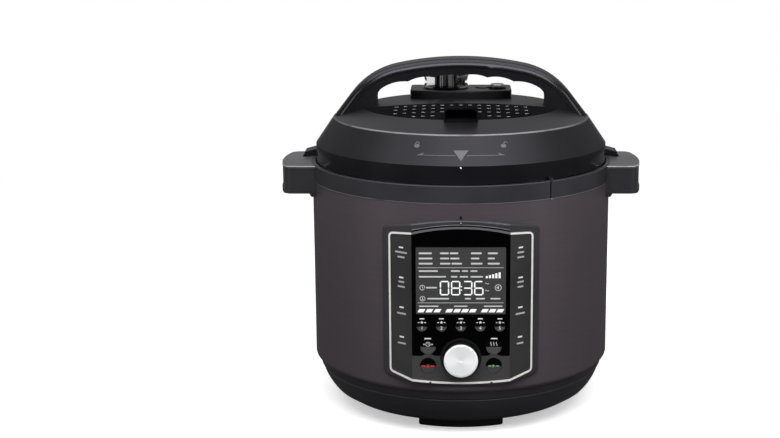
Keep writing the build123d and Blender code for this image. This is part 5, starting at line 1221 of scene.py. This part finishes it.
@dataclass
class PanelPrint:
    """Printed marks of the control panel: its dashes, label bars, icons and numerals, with the painted highlight and
    painted shade on its frame.
    """

    face_y: float = -139.6
    knee_x: float = 42.0
    wing_angle: float = 35.06
    window_proud: float = 0.4
    wing_x: float = 51.0
    crease: float = 10.0
    crease_drop: float = 0.6
    frame_proud: float = 0.3
    strip_proud: float = 0.9
    strip_low: float = 55.8
    strip_rise: float = 2.6
    notch_x: float = 26.3
    arch_half_w: float = 41.5
    arch_rise: float = 4.35
    shell_r: float = 137.0
    favourite_pitch: float = 16.7
    favourite_z: float = 107.4
    favourite_r: float = 4.5
    mode_x: float = 28.3
    mode_z: float = 89.3
    run_z: float = 72.2
    large_key_r: float = 6.8
    mode_dash_x: float = 28.5
    mode_dash: Point = (5.6, 1.0)
    mode_dash_up: float = 6.8
    favourite_dash: Point = (4.0, 0.9)
    favourite_dash_up: float = 6.4
    star_up: float = 3.55
    star_r: float = 1.5
    numeral_height: float = 2.9
    numeral_drop: float = 1.75
    wing_dash: Point = (4.6, 1.3)
    wing_dash_z: float = 95.6
    wing_dash_pitch: float = 26.4
    label_height: float = 1.5
    groove_crown: float = 195.4
    groove_width: float = 1.0
    line_crown: float = 196.35
    line_width: float = 0.45
    mark_half_w: float = 1.1
    frame_mark_ends: Point = (195.0, 198.6)
    shell_mark_ends: Point = (200.5, 203.2)
    notch_half_w: float = 1.3
    notch_ends: Point = (0.05, 1.4)
    dot_z: float = 198.0
    dot_r: float = 0.5
    label_rows: tuple[tuple[float, float, float], ...] = (
        (171.2, 5.2, 2.9), (167.0, 3.2, 3.0), (145.2, 2.6, 2.9), (141.0, 3.2, 2.6), (117.2, 3.9, 4.1),
        (90.6, 3.6, 3.0))

    def on_panel(self, proud: float) -> Surface:
        """Surface of the printed face, flat in the middle and leaning back on the wings.

        Args:
            proud: How far the surface stands over the face.

        Returns:
            The surface.
        """
        lean = math.radians(self.wing_angle)

        def point(x: float, z: float, height: float) -> Vector:
            """Point at a height over the panel.

            Args:
                x: Place across.
                z: Height.
                height: Height over the surface.

            Returns:
                The point, in metres.
            """
            out = proud + height
            if abs(x) <= self.knee_x:
                return Vector((x, self.face_y - out, z)) * MM
            side = math.copysign(1.0, x)
            y = self.face_y + (abs(x) - self.knee_x) * math.tan(lean)
            return Vector((x + side * out * math.sin(lean), y - out * math.cos(lean), z)) * MM
        return point

    def on_key(self, x: float, z: float, radius: float) -> Surface:
        """Surface of a key's creased cap, about the key's centre.

        Args:
            x: The key's place across.
            z: The key's height.
            radius: The cap's radius.

        Returns:
            The surface.
        """
        slope = math.tan(math.radians(self.crease))

        def point(dx: float, dz: float, height: float) -> Vector:
            """Point at a height over the cap.

            Args:
                dx: Distance across from the key's centre.
                dz: Distance up from the key's centre.
                height: Height over the surface.

            Returns:
                The point, in metres.
            """
            fall = radius - self.crease_drop if dz < -self.crease_drop else radius + self.crease_drop
            sunk = radius * slope * (1 - abs(dz + self.crease_drop) / fall)
            return Vector((x + dx, self.face_y + sunk - height, z + dz)) * MM
        return point

    @staticmethod
    def dash_size(dash: Point) -> tuple[float, float, float]:
        """Size of a printed dash of some width and height, in metres."""
        return dash[0] * MM, 2 * INK_T * MM, dash[1] * MM

    def wings(self, rows: Repeat) -> None:
        """Dashes and label bars of the eight program keys on the wings.

        Args:
            rows: The tree of bars.
        """
        lean = math.radians(self.wing_angle)
        face = self.on_panel(0.0)
        for side, label in ((-1, "left"), (1, "right")):
            start = face(side * self.wing_x, self.wing_dash_z, 0.0)
            rows.piece(
                f"wing_dashes_{label}", "base", Count=4, Start=tuple(start),
                Step=(0.0, 0.0, self.wing_dash_pitch * MM),
                Size=self.dash_size(self.wing_dash), Turn=side * lean)
        words = Print()
        for side in (-1, 1):
            for z, left_half, right_half in self.label_rows:
                half = left_half if side < 0 else right_half
                x0, x1 = sorted((side * (self.wing_x - half), side * (self.wing_x + half)))
                words.word(x0, x1, z, self.label_height)
        words.lay("wing_labels", "base", face, Finishes.ink_grey)

    def window(self, rows: Repeat) -> None:
        """Dashes over the keys on the black window, with a star over each numbered key.

        Args:
            rows: The tree of bars.
        """
        face = self.on_panel(self.window_proud)
        start = face(-2 * self.favourite_pitch, self.favourite_z + self.favourite_dash_up, 0.0)
        rows.piece(
            "favourite_dashes", "base", Count=5, Start=tuple(start), Step=(self.favourite_pitch * MM, 0.0, 0.0),
            Size=self.dash_size(self.favourite_dash))
        start = face(-self.mode_dash_x, self.mode_z + self.mode_dash_up, 0.0)
        rows.piece(
            "mode_dashes", "base", Count=2, Start=tuple(start), Step=(2 * self.mode_dash_x * MM, 0.0, 0.0),
            Size=self.dash_size(self.mode_dash))
        stars = Print()
        for i in range(5):
            x, z = (i - 2) * self.favourite_pitch, self.favourite_z + self.star_up
            stars.star(x, z, self.star_r)
            for side in (-1, 1):
                stars.bar(*sorted((x + side * 2.1, x + side * 3.5)), z - 0.45, z + 0.25)
        stars.lay("favourite_stars", "base", face, Finishes.ink_white)

    def numerals(self) -> None:
        """A plain number on each small key."""
        for i in range(5):
            surface = self.on_key((i - 2) * self.favourite_pitch, self.favourite_z, self.favourite_r)
            mesh = numeral(str(i + 1), self.numeral_height)
            for vert in mesh.vertices:
                height = INK_T if vert.co.z > 0 else -INK_SUNK
                vert.co = surface(vert.co.x, vert.co.y - self.numeral_drop, height)
            finished(mesh, f"key_numeral_{i + 1}", f"favourite_key_{i + 1}", Finishes.ink_white)

    def large_keys(self) -> None:
        """Icons on the four large keys: a clock, warm waves, a cross and a start mark."""
        clock, warm, cross, start = Print(), Print(), Print(), Print()
        clock.arc(0, 1.9, 1.9, 0.5, sides=20)
        clock.stroke([(0, 3.1), (0, 1.9), (0.9, 1.9)], 0.4)
        clock.bar(-4.2, -2.7, 1.2, 2.2)
        clock.bar(2.7, 4.2, 1.2, 2.2)
        for x in (-2.4, 0.0, 2.4):
            wave = [(x + 0.45 * math.sin(k * math.pi / 4), 0.5 + k * 0.42) for k in range(9)]
            warm.stroke(wave, 0.5)
        cross.stroke([(-1.2, -1.8), (1.2, 0.6)], 0.6)
        cross.stroke([(-1.2, 0.6), (1.2, -1.8)], 0.6)
        cross.bar(-5.6, -2.2, -1.1, -0.1)
        cross.bar(2.2, 5.6, -1.1, -0.1)
        start.polygon([(-0.9, -1.9), (1.5, -0.6), (-0.9, 0.7)])
        start.bar(-4.6, -1.9, -1.1, -0.1)
        start.bar(2.0, 4.7, -1.1, -0.1)
        for icon, name, side, z, ink in (
                (clock, "delay", -1, self.mode_z, Finishes.ink_white),
                (warm, "keep_warm", 1, self.mode_z, Finishes.ink_white),
                (cross, "cancel", -1, self.run_z, Finishes.ink_red),
                (start, "start", 1, self.run_z, Finishes.ink_green)):
            surface = self.on_key(side * self.mode_x, z, self.large_key_r)
            icon.lay(f"{name}_mark", f"{name}_key", surface, ink)

    def arch(self, crown: float) -> list[Point]:
        """Points of a line that follows the strip's arch.

        Args:
            crown: Height of its middle.

        Returns:
            The points, from left to right.
        """
        half, steps = self.arch_half_w, 12
        across = [i * half / steps for i in range(-steps, steps + 1)]
        return [(x, crown - self.arch_rise * (x / half) ** 2) for x in across]

    def frame_lines(self) -> None:
        """A bright line of painted highlight over a dark line of painted shade along the strip's arch, black painted
        shade in each notch of the strip, and the black alignment mark with its dot.
        """
        face = self.on_panel(self.frame_proud)
        half = self.mark_half_w
        # Painted shade as a dark line along the strip's arch, laid with the black alignment mark.
        groove_shade = Print()
        groove_shade.stroke(self.arch(self.groove_crown), self.groove_width)
        groove_shade.bar(-half, half, *self.frame_mark_ends, cap=False)
        groove_shade.lay("frame_groove_shade", "base", face, Finishes.shade_and_marks)
        # Painted highlight as a bright line along the strip's arch.
        line = Print()
        line.stroke(self.arch(self.line_crown), self.line_width)
        line.lay("frame_line_highlight", "base", face, Finishes.pale_highlight, thick=2 * INK_T)
        # Black triangles of painted shade, one in each notch of the strip.
        notch_shade = Print()
        edge = self.strip_low + self.strip_rise * (self.notch_x / self.knee_x) ** 2
        low, high = (edge + end for end in self.notch_ends)
        for side in (-1, 1):
            x = side * self.notch_x
            notch_shade.polygon([(x - self.notch_half_w, low), (x + self.notch_half_w, low), (x, high)])
        notch_shade.lay("strip_notch_shade", "base", self.on_panel(self.strip_proud), Finishes.shade_and_marks)
        dot = Print()
        dot.disc(0, self.dot_z, self.dot_r)
        dot.lay("frame_dot", "base", face, Finishes.ink_white, thick=2 * INK_T)
        mark = Print()
        mark.bar(-half, half, *self.shell_mark_ends, cap=False)
        mark.lay("shell_mark", "base", on_band(self.shell_r), Finishes.shade_and_marks)

    def build(self, rows: Repeat) -> None:
        """Prints the whole panel, with the painted highlight and shade on its frame.

        Args:
            rows: The tree of bars.
        """
        self.frame_lines()
        self.wings(rows)
        self.window(rows)
        self.numerals()
        self.large_keys()


@dataclass
class DisplayMarks:
    """Segments, bars and icons that show on the grey display."""

    top_z: float = 177.2
    glass_y: float = -139.7
    digits: tuple[int, int, int, int] = (0, 8, 3, 6)
    digit_left: tuple[float, float, float, float] = (-17.4, -7.9, 2.4, 11.8)
    column_x: tuple[float, float, float, float] = (-35.8, -17.7, 8.5, 22.8)
    row_ends: tuple[tuple[float, float, float, float], ...] = (
        (-24.7, -2.2, 17.6, 31.2), (-24.2, -1.2, 15.6, 28.8), (-24.0, 0.9, 18.3, 33.0))
    first_row: float = 5.4
    row_pitch: float = 4.5
    captions: tuple[tuple[float, float, tuple[Point, ...]], ...] = (
        (20.9, 1.3, ((-35.8, -19.6), (-8.5, -0.9), (0.9, 6.0), (8.1, 14.1))),
        (25.9, 1.3, ((-35.8, -12.8), (-8.5, -3.0), (-0.9, 6.0), (8.1, 18.8))),
        (35.5, 1.3, ((-29.8, -20.5),)),
        (45.2, 1.3, ((-28.6, -10.2), (3.4, 8.5), (12.8, 20.5), (25.2, 33.7))),
        (51.9, 1.1, ((-35.8, -19.1), (-6.0, 5.6), (19.6, 35.5))))
    row_height: float = 1.5
    rules: tuple[float, float] = (18.0, 48.9)
    rule_ends: Point = (-36.8, 36.4)
    rule_half: float = 0.18
    digit_low: float = 41.7
    digit_size: Point = (6.9, 11.6)
    digit_thick: float = 1.15
    colon: tuple[float, float] = (34.6, 37.6)
    clock_at: Point = (-32.9, 35.5)
    bell_at: Point = (-32.7, 45.2)
    speaker_at: Point = (31.8, 35.5)
    degrees: tuple[float, float] = (32.4, 38.6)
    strength_at: Point = (22.0, 27.2)
    strength_pitch: float = 2.72
    strength_bar: Point = (1.75, 1.9)
    strength_growth: float = 0.8
    progress_down: float = 57.3
    progress_bar: Point = (5.2, 2.9)
    progress_slant: float = 0.55

    def on_glass(self) -> Surface:
        """Surface of the display, with z measured down from its top edge.

        Returns:
            The surface.
        """
        return lambda x, down, height: Vector((x, self.glass_y - height, self.top_z - down)) * MM

    def words(self) -> None:
        """Label bars of the display's text rows."""
        page = Print()
        for row, ends in enumerate(self.row_ends):
            down = self.first_row + row * self.row_pitch
            for start, stop, parts in zip(self.column_x, ends, (1, 2, 1, 1)):
                page.word(start, stop, down, self.row_height, parts)
        for down, height, bars in self.captions:
            for start, stop in bars:
                page.word(start, stop, down, height)
        page.lay("display_words", "base", self.on_glass(), Finishes.lit_soft)

    def lines(self) -> None:
        """The two rules across the display."""
        page = Print()
        for down in self.rules:
            page.bar(*self.rule_ends, down - self.rule_half, down + self.rule_half, cap=False)
        page.lay("display_rules", "base", self.on_glass(), Finishes.lit_soft)

    def clock(self) -> None:
        """The four large digits with their colon."""
        page = Print()
        for value, left in zip(self.digits, self.digit_left):
            page.digit(value, left, -self.digit_low, *self.digit_size, self.digit_thick)
        for down in self.colon:
            page.bar(-0.1, 0.9, -down - 0.5, -down + 0.5, cap=False)
        surface = self.on_glass()
        page.lay("display_digits", "base", lambda x, z, height: surface(x, -z, height), Finishes.lit)

    def icons(self) -> None:
        """Clock, bell, speaker and unit dots."""
        page = Print()
        x, down = self.clock_at
        page.arc(x, down, 2.1, 0.55, 40, 380)
        page.stroke([(x, down - 1.3), (x, down + 0.1), (x + 0.9, down + 0.7)], 0.45)
        x, down = self.bell_at
        page.arc(x, down, 2.1, 0.5)
        page.stroke([(x, down - 1.2), (x, down + 0.2)], 0.45)
        page.bar(x - 0.9, x + 0.9, down + 0.3, down + 1.0)
        x, down = self.speaker_at
        page.arc(x, down, 2.6, 0.55)
        page.polygon([
            (x - 1.5, down - 0.5), (x - 0.6, down - 0.5), (x + 0.6, down - 1.6), (x + 0.6, down + 1.6),
            (x - 0.6, down + 0.5), (x - 1.5, down + 0.5)])
        for down in self.degrees:
            page.arc(21.4, down - 0.7, 0.45, 0.3, sides=12)
            page.bar(22.4, 23.9, down - 0.7, down)
        page.lay("display_icons", "base", self.on_glass(), Finishes.lit_soft)

    def gauges(self, rows: Repeat) -> None:
        """Rising strength bars and the slanted progress bars.

        Args:
            rows: The tree of bars.
        """
        thick = 2 * INK_T * MM
        x, down = self.strength_at
        wide, tall = self.strength_bar
        rows.piece(
            "display_strength", "base", Count=5, Start=(x * MM, self.glass_y * MM, (self.top_z - down) * MM),
            Step=(self.strength_pitch * MM, 0.0, 0.0), Size=(wide * MM, thick, tall * MM),
            Growth=self.strength_growth * MM, Material=Finishes.lit.build())
        wide, tall = self.progress_bar
        for label, first, count, pitch in (
                ("warm_up", -34.6, 3, 6.9), ("cooking", -10.8, 4, 6.75), ("keep_warm", 19.6, 3, 6.6)):
            rows.piece(
                f"display_progress_{label}", "base", Count=count,
                Start=(first * MM, self.glass_y * MM, (self.top_z - self.progress_down) * MM),
                Step=(pitch * MM, 0.0, 0.0), Size=(wide * MM, thick, tall * MM), Slant=self.progress_slant,
                Material=Finishes.lit.build())

    def build(self, rows: Repeat) -> None:
        """Lights the whole display.

        Args:
            rows: The tree of bars.
        """
        self.words()
        self.lines()
        self.clock()
        self.icons()
        self.gauges(rows)


@dataclass
class LidMarks:
    """Raised marks with a painted sheen and the dot of the lid, pale bands of painted reflection on the valve's core,
    and painted shadow and highlight by the opening mark on the collar.
    """

    band_r: float = 133.3
    band_z: float = 245.4
    ridge_r: float = 117.1
    ridge_z: float = 269.1
    collar_r: float = 137.7
    mark_heading: float = 34.4
    valve_at: Point = (-14.0, 40.0)
    core_r: float = 14.2
    core_ends: Point = (292.4, 303.2)
    reflection_w: float = 2.6
    dot_z: float = 244.1
    dot_r: float = 0.75
    open_mark_ends: Point = (214.2, 228.6)
    pointer_up: float = 9.6
    padlock_up: float = 19.0
    padlock_size: float = 5.6

    def on_facet(self) -> Surface:
        """Surface of the facet: x along its middle circle, z up its slope.

        Returns:
            The surface.
        """
        run, rise = self.band_r - self.ridge_r, self.ridge_z - self.band_z
        slope = math.hypot(run, rise)
        middle = (self.band_r + self.ridge_r) / 2

        def point(x: float, up: float, height: float) -> Vector:
            """Point at a height over the facet.

            Args:
                x: Distance along the middle circle.
                up: Distance up the slope.
                height: Height over the surface.

            Returns:
                The point, in metres.
            """
            heading = x / middle
            radius = self.band_r - run * up / slope + height * rise / slope
            z = self.band_z + rise * up / slope + height * run / slope
            return Vector((radius * math.sin(heading), -radius * math.cos(heading), z)) * MM
        return point

    def pointer(self) -> None:
        """Raises the arrow, its pointer lines and the padlocks, and prints the dot under them."""
        marks = Print()
        up = self.pointer_up
        marks.polygon([(-6.3, up + 5.0), (6.3, up + 5.0), (0, up - 5.0)])
        for side in (-1, 1):
            marks.stroke([(side * (4.6 + i * 3.2), up) for i in range(11)], 0.6)
            marks.polygon([(side * 36.6, up), (side * 31.0, up + 2.4), (side * 32.6, up)])
        marks.padlock(-38.5, self.padlock_up, self.padlock_size, False)
        marks.padlock(37.2, self.padlock_up, self.padlock_size, True)
        # The raised marks are coloured with a painted sheen, paler than the lid.
        marks.lay("lid_pointer_marks", "lid", self.on_facet(), Finishes.relief_sheen, thick=0.3, sunk=0.2)
        dot = Print()
        dot.disc(0, self.dot_z, self.dot_r)
        dot.lay("lid_dot", "lid", on_band(self.band_r), Finishes.ink_white)

    def valve(self) -> None:
        """Two pale bands of painted reflection on the steam valve's black core."""
        reflection_bands = Print()
        for x in (-5.6, 2.6):
            reflection_bands.bar(x, x + self.reflection_w, *self.core_ends, cap=False)
        reflection_bands.lay("valve_core_reflections", "valve", on_band(self.core_r, self.valve_at), Finishes.core_reflection_stripe)

    def opening(self) -> None:
        """Shadow and gleam beside the collar's mark that shows where the lid opens."""
        left = self.collar_r * math.radians(self.mark_heading) - 0.7
        for name, finish, start, stop in (
                ("shadow", Finishes.shade_and_marks, -0.9, 0.0), ("gleam", Finishes.pale_highlight, 1.4, 1.75)):
            line = Print()
            line.bar(left + start, left + stop, *self.open_mark_ends, cap=False)
            line.lay(f"open_mark_{name}", "base", on_band(self.collar_r), finish)

    def build(self) -> None:
        """Marks the lid, and lays the painted reflection on its valve and the painted shadow and highlight on the
        collar.
        """
        self.pointer()
        self.valve()
        self.opening()


@dataclass
class FloorScrews:
    """Painted shade in the cross recesses of the three screws that hold the moulded floor."""

    circle_r: float = 104.0
    head_z: float = 9.6
    first: float = 30.0

    def build(self) -> None:
        """Lays a black cross of painted shade on each screw head."""
        ring_of_shaded_crosses().piece(
            "floor_screw_shaded_crosses", "base", Count=3, Radius=self.circle_r * MM, Height=self.head_z * MM,
            First=math.radians(self.first))


@dataclass
class SensorSpring:
    """The spring under the sensor, wound as a coil in its solid's place."""

    wire_r: float = 0.6
    travel: float = 2.0

    def build(self) -> None:
        """Winds the spring in its solid's place and hides the solid."""
        low, high = (corner[2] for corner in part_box("sensor_spring"))
        spring = coil().piece(
            "sensor_spring_coil", "base", Base_Z=low + self.wire_r * MM, Height=high - low - 2 * self.wire_r * MM)
        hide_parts("sensor_spring")
        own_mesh(spring)


@dataclass
class Studio:
    """Floor, world, lamps and camera."""

    camera_at: tuple[float, float, float] = (0.0, -1.4087, 0.4787)
    pitch: float = 12.74
    lens: float = 71.1
    shift: Point = (-0.0909, 0.0145)
    floor_half: float = 6.0
    floor_pale: float = 0.8
    floor_lift: float = 0.45
    floor_dark: float = 0.08
    fade_r: Point = (0.45, 1.3)
    gleam_r: Point = (1.8, 2.2)
    soft: float = 0.42
    behind_way: Point = (0.35, 0.94)
    behind_rise: Point = (0.25, 1.0)
    behind_share: float = 0.75
    front_share: float = 0.05
    lamps: tuple[tuple[str, tuple[float, float, float], Point, float], ...] = (
        ("front_top", (0.1, -1.15, 1.2), (1.7, 0.7), 24.0),
        ("overhead", (0.0, -0.2, 1.45), (2.4, 0.9), 15.0),
        ("left_fill", (-1.3, -0.8, 0.6), (0.4, 0.9), 3.6),
        ("right_fill", (1.3, -0.8, 0.6), (0.4, 0.9), 4.5))

    def floor(self) -> None:
        """A plain pale floor that keeps the object's shadow and fades into the white surround."""
        mesh = bpy.data.meshes.new("studio_floor")
        half = self.floor_half
        mesh.from_pydata([(-half, -half, 0), (half, -half, 0), (half, half, 0), (-half, half, 0)], [], [(0, 1, 2, 3)])
        floor = bpy.data.objects.new("studio_floor", mesh)
        bpy.context.scene.collection.objects.link(floor)
        material = bpy.data.materials.new("studio_floor")
        material.use_nodes = True
        material.node_tree.nodes.clear()
        graph = Graph(material.node_tree)
        x, y, _ = graph.axes(graph.place())
        distance = (x * x + y * y).root()
        away = distance.ramp(*self.fade_r)
        rays = graph.node("ShaderNodeLightPath")
        camera = Signal(graph, rays.outputs["Is Camera Ray"])
        clear = Signal(graph, rays.outputs["Is Transmission Ray"])
        seen = graph.node("ShaderNodeBsdfDiffuse", {"Color": (self.floor_pale,) * 3})
        lift = graph.node("ShaderNodeEmission", {"Color": (1, 1, 1), "Strength": self.floor_lift})
        white = graph.node("ShaderNodeEmission", {"Color": (1, 1, 1), "Strength": 1.0})
        near = graph.node("ShaderNodeAddShader", {0: seen.outputs[0], 1: lift.outputs[0]})
        shown = graph.node("ShaderNodeMixShader", {0: away, 1: near.outputs[0], 2: white.outputs[0]})
        plain = graph.node("ShaderNodeBsdfDiffuse", {"Color": (self.floor_dark,) * 3})
        far = distance.ramp(*self.gleam_r) * Signal(graph, rays.outputs["Is Glossy Ray"])
        mirrored = graph.node("ShaderNodeMixShader", {0: far, 1: plain.outputs[0], 2: white.outputs[0]})
        both = graph.node("ShaderNodeMixShader", {0: camera | clear, 1: mirrored.outputs[0], 2: shown.outputs[0]})
        graph.node("ShaderNodeOutputMaterial", {"Surface": both.outputs[0]})
        mesh.materials.append(material)

    def world(self) -> None:
        """White to the camera, bright behind and above in reflections, and soft on matte surfaces."""
        world = bpy.data.worlds.new("studio_world")
        world.use_nodes = True
        world.node_tree.nodes.clear()
        graph = Graph(world.node_tree)
        way = graph.out("ShaderNodeTexCoord", output="Generated")
        _, y, z = graph.axes(way)
        rays = graph.node("ShaderNodeLightPath")
        camera = Signal(graph, rays.outputs["Is Camera Ray"])
        glossy = Signal(graph, rays.outputs["Is Glossy Ray"])
        clear = Signal(graph, rays.outputs["Is Transmission Ray"])
        back, up = self.behind_way
        behind = (y * back + z * up).ramp(*self.behind_rise)
        mirrored = behind * self.behind_share + self.front_share
        strength = camera | clear | (glossy * mirrored) | ((1 - glossy) * self.soft)
        shader = graph.node("ShaderNodeBackground", {"Color": (1, 1, 1), "Strength": strength})
        graph.node("ShaderNodeOutputWorld", {"Surface": shader.outputs[0]})
        bpy.context.scene.world = world

    def lamp(self, name: str, at: Sequence[float], size: Point, power: float,
             aim: Sequence[float] = (0.0, 0.0, 0.18)) -> None:
        """A soft rectangular lamp that points at the object.

        Args:
            name: The lamp's name.
            at: Where it hangs.
            size: Width and height.
            power: Power in watts.
            aim: The point that it faces.
        """
        data = bpy.data.lights.new(name, "AREA")
        data.shape, data.size, data.size_y, data.energy = "RECTANGLE", size[0], size[1], power
        lamp = bpy.data.objects.new(name, data)
        lamp.location = at
        lamp.rotation_euler = (Vector(aim) - Vector(at)).to_track_quat("-Z", "Y").to_euler()
        bpy.context.scene.collection.objects.link(lamp)

    def camera(self) -> None:
        """The camera, in front of the cooker and a little above it."""
        data = bpy.data.cameras.new("camera")
        data.sensor_width, data.lens = 36.0, self.lens
        data.shift_x, data.shift_y = self.shift
        camera = bpy.data.objects.new("camera", data)
        camera.location = self.camera_at
        camera.rotation_euler = (math.radians(90 - self.pitch), 0.0, 0.0)
        bpy.context.scene.collection.objects.link(camera)
        bpy.context.scene.camera = camera

    def build(self) -> None:
        """Sets up the studio."""
        self.camera()
        self.floor()
        self.world()
        for lamp in self.lamps:
            self.lamp(*lamp)


def main() -> None:
    """Builds the classes in order."""
    logging.basicConfig(level=logging.INFO, format="%(message)s")
    scene = bpy.context.scene
    scene.view_settings.view_transform = "Standard"
    Studio().build()
    Dressing().build()
    rows = bar_row()
    PanelPrint().build(rows)
    DisplayMarks().build(rows)
    LidMarks().build()
    FloorScrews().build()
    SensorSpring().build()
    slot_lips().piece("vent_slot_lip_highlights", "vent_cover")


if __name__ == "__main__":
    main()
